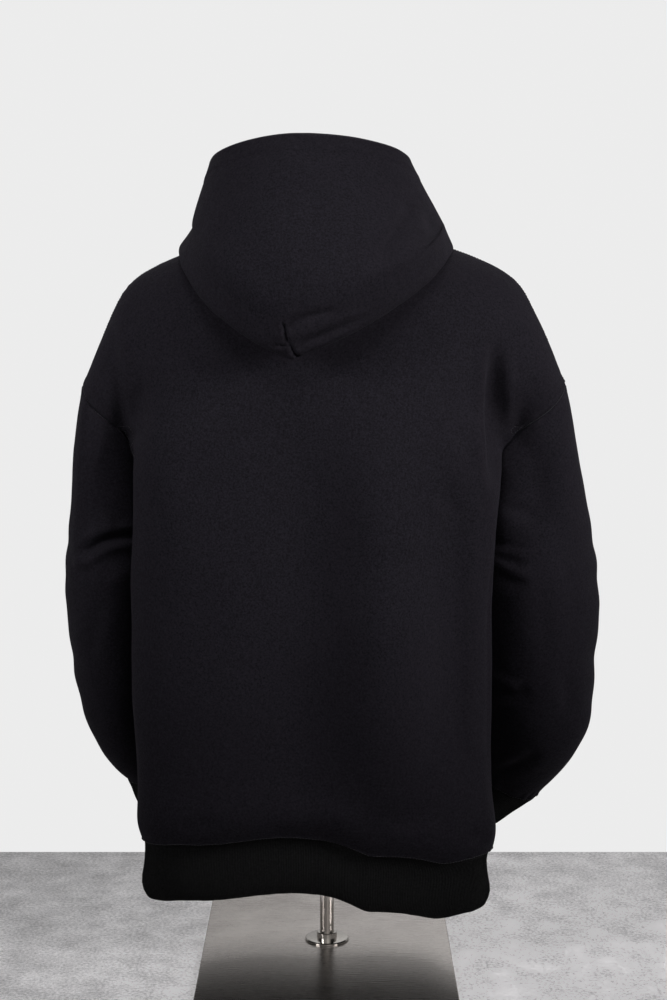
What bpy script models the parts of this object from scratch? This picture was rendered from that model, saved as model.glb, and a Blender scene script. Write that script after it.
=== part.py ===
"""Pullover hoodie on a limbless dress form stand.

Metres, +Z up. The origin is on the underside of the base plate, on the axis of the pole.
The back of the garment faces +Y and its front faces -Y, so the wearer's left is at +X.
Every cut piece of the garment is its own open sheet with a Solidify wall:
back, front, two sleeves, two cuffs, hem rib and hood. The form, pole, flange and
base plate carry them.
"""

import math

import bmesh
import bpy
import numpy as np

# ---------------------------------------------------------------- driving sizes
CLOTH = 0.0018          # heavy cotton knit, one layer
RIB = 0.0022            # ribbed knit of the hem and cuffs
HOOD_CLOTH = 0.0030     # the hood is two layers
SEAM = 0.0008           # between the middle surfaces of two panels, so their corners clear
SEAM_HALF = 0.0005      # how far a sleeve's head stands out and down from the armhole
FOLD_SEAM = 0.0040      # the same where the sleeve folds back along the body

HEM_LEVEL = 0.150       # body to hem rib seam, at the side
UNDERARM_LEVEL = 0.430
NOTCH_LEVEL = 0.645     # outer end of the dropped shoulder
NECK_LEVEL = 0.805      # high point of the shoulder
RIB_HEIGHT = 0.065

FORM_BOTTOM = 0.200
FORM_TOP = 0.862
POLE_RADIUS = 0.008
PLATE_SIZE = (0.280, 0.400, 0.004)
PLATE_CORNER = 0.006
PLATE_EDGE = 0.0008
# The flange, from the top of its bore outward and down: off the bore, and above its foot.
FLANGE_OUTLINE = (
    (0.0000, 0.0090), (0.0026, 0.0090), (0.0032, 0.0084), (0.0032, 0.0030),
    (0.0157, 0.0026), (0.0167, 0.0016), (0.0167, 0.0000),
)
TOUCH = 0.0003          # two pieces that touch keep this gap

# Rings of the body, from the hem seam to the neck. "level" is the height at the side.
# reach: half width; back and front: depth each way from the side seams; back_drop and
# front_drop: how far the centre sits below the side; square_b, square_f: 2 is an ellipse,
# more is boxier; groove_b, groove_f: where the arm's hollow lies, in degrees from centre
# back and from centre front; groove: its depth; wide: its half width in degrees; shift,
# side_shift: how far the ring hangs to the wearer's left, at its centre and at its side.
BODY_COLUMNS = ("level", "reach", "back", "front", "back_drop", "front_drop", "square_b",
                "square_f", "groove_b", "groove_f", "groove", "wide", "shift", "side_shift")
BODY_RINGS = (
    (0.150, 0.2190, 0.133, 0.121, 0.000, 0.000, 2.8, 2.3, 88, 60, 0.042, 22, 0.0100, 0.0100),
    (0.166, 0.2240, 0.141, 0.127, 0.000, 0.000, 2.8, 2.3, 88, 60, 0.046, 22, 0.0108, 0.0108),
    (0.200, 0.2220, 0.142, 0.129, 0.000, 0.000, 2.8, 2.3, 88, 61, 0.050, 21, 0.0125, 0.0125),
    (0.300, 0.2200, 0.140, 0.130, 0.000, 0.000, 2.8, 2.4, 89, 69, 0.052, 20, 0.0155, 0.0155),
    (0.380, 0.2200, 0.138, 0.130, 0.000, 0.000, 2.8, 2.35, 90, 78, 0.051, 20, 0.0160, 0.0160),
    (0.430, 0.2235, 0.136, 0.129, 0.000, 0.000, 2.8, 2.35, 87, 80, 0.052, 20, 0.0160, 0.0160),
    (0.500, 0.2410, 0.134, 0.128, 0.000, 0.000, 2.8, 2.45, 73, 73, 0.054, 19, 0.0160, 0.0100),
    (0.545, 0.2590, 0.132, 0.127, 0.000, 0.000, 2.8, 2.55, 62, 62, 0.053, 17, 0.0155, 0.0060),
    (0.577, 0.2695, 0.131, 0.126, 0.000, 0.000, 2.8, 2.7, 54, 54, 0.049, 15, 0.0155, 0.0040),
    (0.610, 0.2735, 0.129, 0.125, 0.000, 0.000, 2.7, 2.7, 48, 48, 0.038, 15, 0.0150, 0.0025),
    (0.645, 0.2630, 0.125, 0.123, 0.000, 0.000, 2.6, 2.6, 46, 46, 0.019, 15, 0.0120, 0.0025),
    (0.680, 0.2485, 0.119, 0.119, 0.000, 0.004, 2.5, 2.5, 46, 46, 0.006, 15, 0.0080, 0.0025),
    (0.710, 0.2355, 0.112, 0.116, 0.000, 0.014, 2.4, 2.4, 46, 46, 0.001, 15, 0.0050, 0.0030),
    (0.735, 0.2230, 0.104, 0.113, 0.001, 0.029, 2.3, 2.3, 46, 46, 0.000, 15, 0.0030, 0.0030),
    (0.755, 0.2070, 0.096, 0.111, 0.003, 0.043, 2.2, 2.2, 46, 46, 0.000, 15, 0.0020, 0.0020),
    (0.775, 0.1720, 0.085, 0.108, 0.006, 0.058, 2.1, 2.1, 46, 46, 0.000, 15, 0.0010, 0.0010),
    (0.790, 0.1310, 0.075, 0.105, 0.011, 0.0705, 2.0, 2.0, 46, 46, 0.000, 15, 0.0000, 0.0000),
    (0.805, 0.0950, 0.067, 0.102, 0.018, 0.083, 2.0, 2.0, 46, 46, 0.000, 15, 0.0000, 0.0000),
)
# Where a panel ends at the armhole, in degrees from its own centre line.
ARMHOLE_COLUMNS = ("level", "edge")
ARMHOLE = (
    (0.430, 90), (0.455, 84), (0.484, 77), (0.519, 69), (0.556, 60.5),
    (0.591, 56.5), (0.620, 66), (0.6385, 80), (0.645, 90),
)
# The hem sags unevenly: degrees from centre back, + to the wearer's left, and the height
# off the hem level. The body follows it and evens out by WAVE_TOP.
WAVE_TOP = 0.33
HEM_WAVE = (
    (-180, 0.004), (-150, -0.004), (-120, -0.010), (-90, -0.014), (-60, -0.0165),
    (-46, -0.0164), (-38, -0.0178), (-31, -0.0185), (-23, -0.0127), (-18.5, -0.0096),
    (-12, -0.0077), (-8, -0.0056), (-5, 0.0015), (-2.5, 0.0075), (0, 0.0123),
    (4, 0.0139), (10, 0.0118), (16, 0.0080), (22, 0.0042), (36, 0.0004), (45, -0.0034),
    (60, -0.0060), (90, -0.0090), (120, -0.006), (150, 0.000), (180, 0.004),
)
# The hem rib, from its seam down: how far down, and how much narrower and shallower.
RIB_COLUMNS = ("down", "narrower", "shallower", "groove", "shift")
RIB_ROWS = (
    (0.000, 0.0025, 0.003, 0.040, 0.0100),
    (0.006, 0.0042, 0.007, 0.039, 0.0110),
    (0.034, 0.0042, 0.009, 0.036, 0.0118),
    (0.058, 0.0050, 0.010, 0.034, 0.0118),
    (RIB_HEIGHT, 0.0085, 0.013, 0.033, 0.0115),
)

# Sleeve rings from the armhole down. Each is an oval whose long way runs from an inner
# point to an outer one, seen from the front, with the depth across it. lean turns it
# forward, in degrees. Over the first SLEEVE_HEAD of its length it grows out of the armhole.
SLEEVE_HEAD = 0.42
SLEEVE_COLUMNS = ("out_x", "out_z", "in_x", "in_z", "mid_y", "deep", "lean")
SLEEVE_LEFT = (
    (0.2655, 0.645, 0.1935, 0.430, 0.000, 0.056, 0),
    (0.2725, 0.603, 0.1945, 0.426, 0.000, 0.064, 0),
    (0.2790, 0.555, 0.1950, 0.419, 0.001, 0.069, 0),
    (0.2855, 0.500, 0.1955, 0.405, 0.001, 0.071, 1),
    (0.2915, 0.440, 0.1960, 0.382, -0.004, 0.071, 4),
    (0.2910, 0.375, 0.1960, 0.345, -0.013, 0.070, 8),
    (0.2860, 0.315, 0.1950, 0.303, -0.027, 0.066, 14),
    (0.2740, 0.255, 0.1890, 0.266, -0.045, 0.058, 22),
    (0.2530, 0.207, 0.1770, 0.232, -0.066, 0.047, 28),
    (0.2390, 0.187, 0.1720, 0.213, -0.077, 0.039, 30),
)
SLEEVE_RIGHT = (
    (0.2605, 0.645, 0.1760, 0.430, 0.000, 0.056, 0),
    (0.2700, 0.603, 0.1720, 0.425, 0.000, 0.064, 0),
    (0.2805, 0.550, 0.1700, 0.417, -0.002, 0.070, 1),
    (0.2925, 0.497, 0.1680, 0.402, -0.005, 0.073, 2),
    (0.3020, 0.435, 0.1670, 0.377, -0.010, 0.074, 4),
    (0.3055, 0.370, 0.1665, 0.340, -0.017, 0.072, 8),
    (0.3050, 0.305, 0.1670, 0.300, -0.028, 0.068, 14),
    (0.3005, 0.247, 0.1690, 0.267, -0.046, 0.061, 24),
    (0.2755, 0.199, 0.1680, 0.238, -0.068, 0.051, 34),
    (0.2540, 0.170, 0.1660, 0.216, -0.080, 0.042, 38),
)
# Cuff rings: where the sleeve gathers into the cuff, and the open end.
CUFF_LEFT = (
    (0.2350, 0.1800, 0.1740, 0.2040, -0.0815, 0.034, 30),
    (0.2310, 0.1640, 0.1715, 0.1870, -0.0900, 0.0325, 30),
    (0.2225, 0.1310, 0.1655, 0.1540, -0.1080, 0.0325, 30),
)
CUFF_RIGHT = (
    (0.2490, 0.1600, 0.1690, 0.2020, -0.0850, 0.037, 38),
    (0.2370, 0.1490, 0.1630, 0.1860, -0.0920, 0.0345, 38),
    (0.2080, 0.1230, 0.1350, 0.1590, -0.1100, 0.0345, 38),
)

# The hood, by angle from its centre back, in polar form about HOOD_CENTRE: out is the
# distance from the centre and up is the height. It leaves the neck seam, rises to a crest,
# falls to the fold that shows as its lower edge, and comes back up to the face opening.
HOOD_CENTRE = (0.0, -0.018)
HOOD_COLUMNS = ("angle", "crest_out", "crest_up", "fold_out", "fold_up", "lip_out", "lip_up",
                "belly_out", "belly_up", "rim_out", "rim_up", "roll")
HOOD_ROWS = (
    (0, 0.116, 0.832, 0.188, 0.675, 0.198, 0.701, 0.192, 0.776, 0.104, 0.9075, 1.00),
    (20, 0.115, 0.832, 0.185, 0.704, 0.195, 0.730, 0.188, 0.785, 0.107, 0.9055, 1.00),
    (40, 0.115, 0.828, 0.177, 0.743, 0.182, 0.770, 0.174, 0.799, 0.115, 0.8985, 0.85),
    (60, 0.113, 0.822, 0.163, 0.777, 0.157, 0.799, 0.151, 0.815, 0.117, 0.8880, 0.55),
    (85, 0.110, 0.815, 0.1435, 0.7950, 0.137, 0.806, 0.130, 0.824, 0.110, 0.8670, 0.25),
    (110, 0.099, 0.808, 0.120, 0.799, 0.120, 0.809, 0.119, 0.818, 0.108, 0.8420, 0.14),
    (140, 0.090, 0.770, 0.096, 0.777, 0.098, 0.782, 0.100, 0.786, 0.101, 0.8000, 0.06),
    (165, 0.087, 0.743, 0.092, 0.750, 0.0935, 0.754, 0.095, 0.758, 0.097, 0.7710, 0.02),
    (180, 0.086, 0.736, 0.090, 0.743, 0.0915, 0.747, 0.093, 0.751, 0.096, 0.7620, 0.00),
)
INNER_ROLL = (-0.024, 0.032)   # from the fold's edge to the layer inside it, where it rolls
INNER_WAY = 0.45               # how far that is on the way to the crest, where it doesn't
HOOD_STEPS = (0.0, 0.17, 0.38, 0.48, 0.57, 0.78, 1.0)   # where those points lie on the way up
HOOD_SHIFT = (0.004, 0.008, 0.0095, 0.0095, 0.0105, 0.0175)   # sideways, past the seam
HOOD_SHIFT_FADE = (90.0, 175.0)   # degrees over which the front edges lose that shift
HOOD_SKEW = 8.0         # degrees that the lowest point of the fold lies to the left
HOOD_SKEW_SPAN = 70.0
HOOD_TILT = 0.005       # how much higher the fold runs on the left than on the right
HOOD_TILT_SPAN = 60.0
HOOD_FRONT_GAP = 0.0012  # half the gap where the two front edges meet
HOOD_SEAT = 0.0034      # the hood's seam edge stands this far above the neck edge

# The torso form, an oval at each height.
FORM_COLUMNS = ("level", "half_width", "half_depth", "mid_y")
FORM_ROWS = (
    (0.200, 0.128, 0.090, 0.000), (0.206, 0.136, 0.098, 0.000),
    (0.225, 0.143, 0.105, 0.000), (0.290, 0.147, 0.109, 0.001),
    (0.360, 0.141, 0.105, 0.000), (0.430, 0.134, 0.098, -0.002),
    (0.500, 0.143, 0.103, -0.002), (0.560, 0.156, 0.109, -0.002),
    (0.620, 0.170, 0.110, -0.001), (0.665, 0.190, 0.104, 0.000),
    (0.695, 0.207, 0.094, 0.001), (0.715, 0.2125, 0.085, 0.001),
    (0.7325, 0.2130, 0.076, 0.003), (0.7440, 0.2080, 0.070, 0.005),
    (0.7545, 0.1980, 0.064, 0.007), (0.7645, 0.1830, 0.059, 0.008),
    (0.7745, 0.1640, 0.055, 0.009), (0.7845, 0.1360, 0.052, 0.009),
    (0.7935, 0.1060, 0.050, 0.008), (0.8010, 0.0800, 0.050, 0.006),
    (0.8140, 0.0650, 0.051, 0.003), (0.8360, 0.0600, 0.051, -0.001),
    (0.8560, 0.0590, 0.050, -0.003), (FORM_TOP, 0.0530, 0.044, -0.003),
)

# mesh steps
ACROSS = 18             # panel columns
LOWER_LEVELS = (0.150, 0.166, 0.195, 0.250, 0.310, 0.370)
UPPER_LEVELS = (0.665, 0.690, 0.715, 0.735, 0.752, 0.768, 0.782, 0.794, 0.805)
HALF_LOOP = 9           # steps from the underarm to the notch, on each side
SLEEVE_STEPS = 11
CUFF_STEPS = 3
RIB_AROUND = 40
RIB_STEPS = (SEAM, 0.006, 0.020, 0.040, 0.058, RIB_HEIGHT)
HOOD_AROUND = 30
HOOD_UP = 17
FORM_AROUND = 32
POLE_AROUND = 28
FLANGE_AROUND = 36
SHARP = math.radians(40.0)


# ---------------------------------------------------------------- curves through tables
def natural_spline(knots, values):
    """The natural cubic through the points, as a function."""
    k = np.asarray(knots, float)
    v = np.asarray(values, float)
    h = np.diff(k)
    last = len(k) - 1
    rows = np.eye(last + 1)
    right = np.zeros(last + 1)
    for i in range(1, last):
        rows[i, i - 1:i + 2] = h[i - 1], 2.0 * (h[i - 1] + h[i]), h[i]
        right[i] = 6.0 * ((v[i + 1] - v[i]) / h[i] - (v[i] - v[i - 1]) / h[i - 1])
    bend = np.linalg.solve(rows, right)

    def at(x):
        x = np.asarray(x, float)
        i = np.clip(np.searchsorted(k, x) - 1, 0, last - 1)
        below, above, step = x - k[i], k[i + 1] - x, h[i]
        return ((bend[i] * above ** 3 + bend[i + 1] * below ** 3) / (6.0 * step)
                + (v[i] / step - bend[i] * step / 6.0) * above
                + (v[i + 1] / step - bend[i + 1] * step / 6.0) * below)
    return at


def columns(names, table, against=None):
    """One spline for each named column of a table, against its first column or a list."""
    rows = np.array(table, float)
    knots = rows[:, 0] if against is None else against
    return {name: natural_spline(knots, rows[:, i]) for i, name in enumerate(names)}


def ease(x, low, high):
    """0 below low, 1 above high, smooth between."""
    t = np.clip((x - low) / (high - low), 0.0, 1.0)
    return t * t * (3.0 - 2.0 * t)


def bump(distance, width):
    return np.exp(-(distance / width) ** 2)


BODY = columns(BODY_COLUMNS, BODY_RINGS)
HEM = natural_spline(*zip(*HEM_WAVE))
ARMHOLE_EDGE = columns(ARMHOLE_COLUMNS, ARMHOLE)["edge"]


# ---------------------------------------------------------------- the body's surface
def oval(reach, deep, square, angle):
    """A point of a superellipse and its outward normal, angle in degrees from +depth."""
    s = np.abs(np.sin(np.radians(angle))) ** (2.0 / square)
    c = np.abs(np.cos(np.radians(angle))) ** (2.0 / square)
    nx = np.maximum(s, 1e-6) ** (square - 1.0) / reach
    ny = np.maximum(c, 1e-6) ** (square - 1.0) / deep
    length = np.hypot(nx, ny)
    return reach * s, deep * c, nx / length, ny / length


def body_point(level, angle):
    """The body's middle surface. angle runs from centre back, + to the left, to 180."""
    level, angle = np.broadcast_arrays(np.asarray(level, float), np.asarray(angle, float))
    side = np.sign(angle + 1e-9)
    around = np.abs(angle)
    back = around <= 90.0
    own = np.where(back, around, 180.0 - around)      # degrees from this panel's centre
    ring = {name: at(level) for name, at in BODY.items()}
    deep = np.where(back, ring["back"], ring["front"])
    square = np.where(back, ring["square_b"], ring["square_f"])
    x, y, nx, ny = oval(ring["reach"], deep, square, own)
    y_sign = np.where(back, 1.0, -1.0)
    hollow = 1.0 - ((1.0 - bump(around - ring["groove_b"], ring["wide"]))
                    * (1.0 - bump(around - (180.0 - ring["groove_f"]), ring["wide"])))
    x = x - ring["groove"] * hollow * nx
    y = y_sign * (y - ring["groove"] * hollow * ny)
    drop = np.where(back, ring["back_drop"], ring["front_drop"])
    drop = drop * np.cos(np.radians(own)) ** 2
    wave = HEM(np.clip(angle, -180.0, 180.0)) * (1.0 - ease(level, HEM_LEVEL, WAVE_TOP))
    to_side = np.sin(np.radians(own)) ** 2
    shift = ring["shift"] + (ring["side_shift"] - ring["shift"]) * to_side
    return np.stack([side * x + shift, y, level - drop + wave], axis=-1)


def loop_levels(steps):
    """Heights along the armhole from the underarm to the notch, even around the loop."""
    middle = (NOTCH_LEVEL + UNDERARM_LEVEL) / 2.0
    half = (NOTCH_LEVEL - UNDERARM_LEVEL) / 2.0
    return [middle - half * math.cos(math.pi * i / steps) for i in range(steps + 1)]


def panel_edge(level):
    """Degrees from the panel's centre to its edge at this height."""
    inside = (level > UNDERARM_LEVEL) & (level < NOTCH_LEVEL)
    return np.where(inside, ARMHOLE_EDGE(np.clip(level, UNDERARM_LEVEL, NOTCH_LEVEL)), 90.0)


def panel_grid(back):
    """Rows from the hem to the neck, columns from the right edge to the left."""
    levels = np.array(LOWER_LEVELS + tuple(loop_levels(HALF_LOOP)) + UPPER_LEVELS)
    grid = []
    for i, level in enumerate(levels):
        edge = float(panel_edge(level))
        turn = np.linspace(-1.0, 1.0, ACROSS + 1) * edge
        angle = turn if back else np.where(turn < 0, -180.0 - turn, 180.0 - turn)
        row = body_point(level, angle)
        if not back:
            row[ACROSS // 2] = body_point(level, 180.0)
        pull_in(row, SEAM / 2.0)
        grid.append(row)
    return np.array(grid)


def pull_in(row, gap):
    """Moves both ends of a row of points inward by the gap."""
    for end, inner in ((0, 1), (-1, -2)):
        way = row[inner] - row[end]
        row[end] = row[end] + way * gap / np.linalg.norm(way)


def rib_grid():
    """The hem rib: rings from the body's seam down, closed round."""
    row = {name: natural_spline([r[0] for r in RIB_ROWS], [r[i] for r in RIB_ROWS])
           for i, name in enumerate(RIB_COLUMNS)}
    angle = np.linspace(-180.0, 180.0, RIB_AROUND, endpoint=False)
    around = np.abs(angle)
    back = around <= 90.0
    own = np.where(back, around, 180.0 - around)
    base = {name: float(at(HEM_LEVEL)) for name, at in BODY.items()}
    grid = []
    for down in RIB_STEPS:
        part = {name: float(at(down)) for name, at in row.items()}
        deep = np.where(back, base["back"], base["front"]) - part["shallower"]
        square = np.where(back, base["square_b"], base["square_f"])
        x, y, nx, ny = oval(base["reach"] - part["narrower"], deep, square, own)
        hollow = 1.0 - ((1.0 - bump(around - base["groove_b"], base["wide"]))
                        * (1.0 - bump(around - 180.0 + base["groove_f"], base["wide"])))
        x = x - part["groove"] * hollow * nx
        y = np.where(back, 1.0, -1.0) * (y - part["groove"] * hollow * ny)
        z = HEM_LEVEL - down + HEM(angle)
        grid.append(np.stack([np.sign(angle + 1e-9) * x + part["shift"], y, z], axis=-1))
    return np.array(grid)


# ---------------------------------------------------------------- sleeves and cuffs
def oval_ring(row, turn, side):
    """Points of one sleeve or cuff ring. turn 0 is its outer point, 90 its back."""
    out = np.array([row["out_x"], 0.0, row["out_z"]])
    inner = np.array([row["in_x"], 0.0, row["in_z"]])
    lean = math.radians(row["lean"])
    middle = (out + inner) / 2.0 + np.array([0.0, row["mid_y"], 0.0])
    across = (out - inner) / 2.0
    deep = row["deep"] * np.array([0.0, math.cos(lean), -math.sin(lean)])
    points = (middle + np.outer(np.cos(np.radians(turn)), across)
              + np.outer(np.sin(np.radians(turn)), deep))
    points[:, 0] *= side
    return points


def armhole_loop(turn, side):
    """The armhole's seam line at each turn: 0 the notch, 90 on the back, 180 underarm."""
    middle = (NOTCH_LEVEL + UNDERARM_LEVEL) / 2.0
    half = (NOTCH_LEVEL - UNDERARM_LEVEL) / 2.0
    level = middle + half * np.cos(np.radians(turn))
    edge = panel_edge(level)
    front = turn > 180.0
    loop = body_point(level, side * np.where(front, 180.0 - edge, edge))
    folded = (1.0 - np.cos(np.radians(turn))) / 2.0
    loop[:, 0] += side * (SEAM_HALF + (FOLD_SEAM - SEAM) * folded)
    loop[:, 2] -= SEAM_HALF * (1.0 - folded)
    return loop


def sleeve_grid(table, cuff, side):
    """Rings from the armhole to the cuff's seam, closed round."""
    rows = columns(SLEEVE_COLUMNS, table, np.linspace(0.0, 1.0, len(table)))
    turn = np.linspace(0.0, 360.0, 2 * HALF_LOOP, endpoint=False)
    loop = armhole_loop(turn, side)
    first = oval_ring({name: float(at(0.0)) for name, at in rows.items()}, turn, side)
    grid = []
    for step in np.linspace(0.0, 1.0, SLEEVE_STEPS):
        ring = oval_ring({name: float(at(step)) for name, at in rows.items()}, turn, side)
        own = 1.0 - float(ease(step, 0.0, SLEEVE_HEAD))
        grid.append(ring + own * (loop - first))
    top, below = (oval_ring(dict(zip(SLEEVE_COLUMNS, row)), turn, side) for row in cuff[:2])
    away = top - below
    grid.append(top + away * SEAM / np.linalg.norm(away, axis=1, keepdims=True))
    return np.array(grid)


def cuff_grid(table, side):
    rows = columns(SLEEVE_COLUMNS, table, np.linspace(0.0, 1.0, len(table)))
    turn = np.linspace(0.0, 360.0, 2 * HALF_LOOP, endpoint=False)
    return np.array([
        oval_ring({name: float(at(step)) for name, at in rows.items()}, turn, side)
        for step in np.linspace(0.0, 1.0, CUFF_STEPS + 1)])


# ---------------------------------------------------------------- hood
def before_fold(fold_out, fold_up, crest_out, crest_up, roll):
    """The point inside the fold: bowed where the hood rolls, else on the way to the crest."""
    plain = INNER_WAY * (1.0 - roll)
    return (fold_out + INNER_ROLL[0] * roll + (crest_out - fold_out) * plain,
            fold_up + INNER_ROLL[1] * roll + (crest_up - fold_up) * plain)


def hood_grid():
    """Rows from the neck seam to the face opening, columns from front round to front."""
    part = columns(HOOD_COLUMNS, HOOD_ROWS)
    grid = []
    for angle in np.linspace(-180.0, 180.0, HOOD_AROUND + 1):
        row = {name: float(at(abs(angle))) for name, at in part.items()}
        skewed = min(abs(angle - HOOD_SKEW * bump(angle, HOOD_SKEW_SPAN)), 180.0)
        fold_out, fold_up = float(part["fold_out"](skewed)), float(part["fold_up"](skewed))
        fold_up += HOOD_TILT * math.sin(math.radians(angle)) * bump(angle, HOOD_TILT_SPAN)
        polar = (
            (row["crest_out"], row["crest_up"]),
            before_fold(fold_out, fold_up, row["crest_out"], row["crest_up"], row["roll"]),
            (fold_out, fold_up),
            (row["lip_out"], row["lip_up"] + fold_up - row["fold_up"]),
            (row["belly_out"], row["belly_up"]),
            (row["rim_out"], row["rim_up"]),
        )
        way = np.array([math.sin(math.radians(angle)), math.cos(math.radians(angle))])
        neck = body_point(NECK_LEVEL, max(min(angle, 179.99), -179.99))
        points = [neck + np.array([0.0, 0.0, HOOD_SEAT])]
        for (out, up), shift in zip(polar, HOOD_SHIFT):
            fade = 1.0 - float(ease(abs(angle), *HOOD_SHIFT_FADE))
            x = HOOD_CENTRE[0] + out * way[0] + shift * fade
            points.append(np.array([x, HOOD_CENTRE[1] + out * way[1], up]))
        points = np.array(points)
        line = [natural_spline(HOOD_STEPS, points[:, i]) for i in range(3)]
        up_way = np.linspace(0.0, 1.0, HOOD_UP)
        grid.append(np.stack([at(up_way) for at in line], axis=-1))
    grid = np.array(grid).transpose(1, 0, 2)
    grid[:, 0, 0] = -HOOD_FRONT_GAP
    grid[:, -1, 0] = HOOD_FRONT_GAP
    return grid


# ---------------------------------------------------------------- Blender objects
def material(name, colour, roughness, metallic=0.0):
    made = bpy.data.materials.new(name)
    made.use_nodes = True
    shader = made.node_tree.nodes["Principled BSDF"]
    shader.inputs["Base Color"].default_value = (*colour, 1.0)
    shader.inputs["Roughness"].default_value = roughness
    shader.inputs["Metallic"].default_value = metallic
    return made


def add(name, mesh, finish, collection):
    piece = bpy.data.objects.new(name, mesh)
    mesh.materials.append(finish)
    collection.objects.link(piece)
    return piece


def sheet_mesh(name, grid, closed=False, flip=False):
    """A mesh over a grid of points; closed joins the last column to the first."""
    rows, wide = grid.shape[:2]
    work = bmesh.new()
    points = [[work.verts.new(tuple(p)) for p in row] for row in grid]
    for r in range(rows - 1):
        for c in range(wide if closed else wide - 1):
            after = (c + 1) % wide
            face = [points[r][c], points[r][after], points[r + 1][after], points[r + 1][c]]
            work.faces.new(face[::-1] if flip else face)
    mesh = bpy.data.meshes.new(name)
    work.to_mesh(mesh)
    work.free()
    mesh.shade_smooth()
    return mesh


def wall(piece, thickness):
    """Gives an open sheet its thickness, half to each side."""
    solid = piece.modifiers.new("wall", "SOLIDIFY")
    solid.thickness = thickness
    solid.offset = 0.0
    solid.use_even_offset = False


def cloth(name, grid, thickness, finish, collection, closed=False, flip=False):
    piece = add(name, sheet_mesh(name, grid, closed, flip), finish, collection)
    wall(piece, thickness)


def add_form(finish, collection):
    """The torso form: ovals lofted from a flat underside to a flat neck top."""
    part = columns(FORM_COLUMNS, FORM_ROWS)
    turn = np.radians(np.linspace(0.0, 360.0, FORM_AROUND, endpoint=False))
    work = bmesh.new()
    rings = []
    for level in [row[0] for row in FORM_ROWS]:
        wide, deep = float(part["half_width"](level)), float(part["half_depth"](level))
        mid = float(part["mid_y"](level))
        rings.append([work.verts.new((wide * math.cos(a), mid + deep * math.sin(a), level))
                      for a in turn])
    for low, high in zip(rings, rings[1:]):
        for i in range(FORM_AROUND):
            j = (i + 1) % FORM_AROUND
            work.faces.new((low[i], low[j], high[j], high[i]))
    work.faces.new(rings[0][::-1])
    work.faces.new(rings[-1])
    mesh = bpy.data.meshes.new("torso_form")
    work.to_mesh(mesh)
    work.free()
    mesh.shade_smooth()
    mesh.set_sharp_from_angle(angle=SHARP)
    add("torso_form", mesh, finish, collection)


def add_pole(finish, collection):
    """A round tube from the base plate to the underside of the form."""
    bottom, top = PLATE_SIZE[2] + TOUCH, FORM_BOTTOM - TOUCH
    work = bmesh.new()
    bmesh.ops.create_cone(work, cap_ends=True, segments=POLE_AROUND, radius1=POLE_RADIUS,
                          radius2=POLE_RADIUS, depth=top - bottom)
    mesh = bpy.data.meshes.new("pole")
    work.to_mesh(mesh)
    work.free()
    mesh.shade_smooth()
    mesh.set_sharp_from_angle(angle=SHARP)
    pole = add("pole", mesh, finish, collection)
    pole.location.z = (top + bottom) / 2.0


def add_flange(finish, collection):
    """A turned floor flange with a short collar round the pole."""
    inner = POLE_RADIUS + TOUCH
    foot = PLATE_SIZE[2] + TOUCH
    outline = [(inner, foot)]
    outline += [(inner + wide, foot + up) for wide, up in FLANGE_OUTLINE]
    work = bmesh.new()
    points = [work.verts.new((r, 0.0, z)) for r, z in outline]
    for i, point in enumerate(points):
        work.edges.new((point, points[(i + 1) % len(points)]))
    mesh = bpy.data.meshes.new("flange")
    work.to_mesh(mesh)
    work.free()
    flange = add("flange", mesh, finish, collection)
    turned = flange.modifiers.new("turned", "SCREW")
    turned.steps = FLANGE_AROUND
    turned.render_steps = FLANGE_AROUND
    turned.use_merge_vertices = True
    turned.merge_threshold = 0.00001


def add_plate(finish, collection):
    """The base plate: a slab with rounded corners and softened edges."""
    work = bmesh.new()
    bmesh.ops.create_cube(work, size=1.0)
    bmesh.ops.scale(work, vec=PLATE_SIZE, verts=work.verts)
    upright = [e for e in work.edges
               if abs(e.verts[0].co.z - e.verts[1].co.z) > PLATE_SIZE[2] / 2.0]
    bmesh.ops.bevel(work, geom=upright, offset=PLATE_CORNER, segments=4, affect="EDGES",
                    profile=0.5)
    mesh = bpy.data.meshes.new("base_plate")
    work.to_mesh(mesh)
    work.free()
    plate = add("base_plate", mesh, finish, collection)
    plate.location.z = PLATE_SIZE[2] / 2.0
    soft = plate.modifiers.new("soft_edges", "BEVEL")
    soft.width = PLATE_EDGE
    soft.segments = 2
    soft.limit_method = "ANGLE"


def main():
    for old in list(bpy.data.objects):
        bpy.data.objects.remove(old, do_unlink=True)
    hoodie = bpy.data.collections.new("pullover_hoodie_on_dress_form_stand")
    bpy.context.scene.collection.children.link(hoodie)

    jersey = material("black_jersey", (0.012, 0.012, 0.014), 0.85)
    ribbing = material("black_ribbing", (0.013, 0.013, 0.013), 0.88)
    cover = material("form_cover", (0.55, 0.53, 0.50), 0.8)
    steel = material("brushed_steel", (0.55, 0.54, 0.52), 0.35, 1.0)
    chrome = material("chrome", (0.75, 0.74, 0.72), 0.12, 1.0)

    cloth("back", panel_grid(True), CLOTH, jersey, hoodie, flip=True)
    cloth("front", panel_grid(False), CLOTH, jersey, hoodie)
    cloth("sleeve_left", sleeve_grid(SLEEVE_LEFT, CUFF_LEFT, 1), CLOTH, jersey, hoodie, closed=True,
          flip=True)
    cloth("sleeve_right", sleeve_grid(SLEEVE_RIGHT, CUFF_RIGHT, -1), CLOTH, jersey, hoodie,
          closed=True)
    cloth("cuff_left", cuff_grid(CUFF_LEFT, 1), RIB, ribbing, hoodie, closed=True, flip=True)
    cloth("cuff_right", cuff_grid(CUFF_RIGHT, -1), RIB, ribbing, hoodie, closed=True)
    cloth("hem_rib", rib_grid(), RIB, ribbing, hoodie, closed=True)
    cloth("hood", hood_grid(), HOOD_CLOTH, jersey, hoodie, flip=True)
    add_form(cover, hoodie)
    add_pole(chrome, hoodie)
    add_flange(chrome, hoodie)
    add_plate(steel, hoodie)


main()
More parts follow.
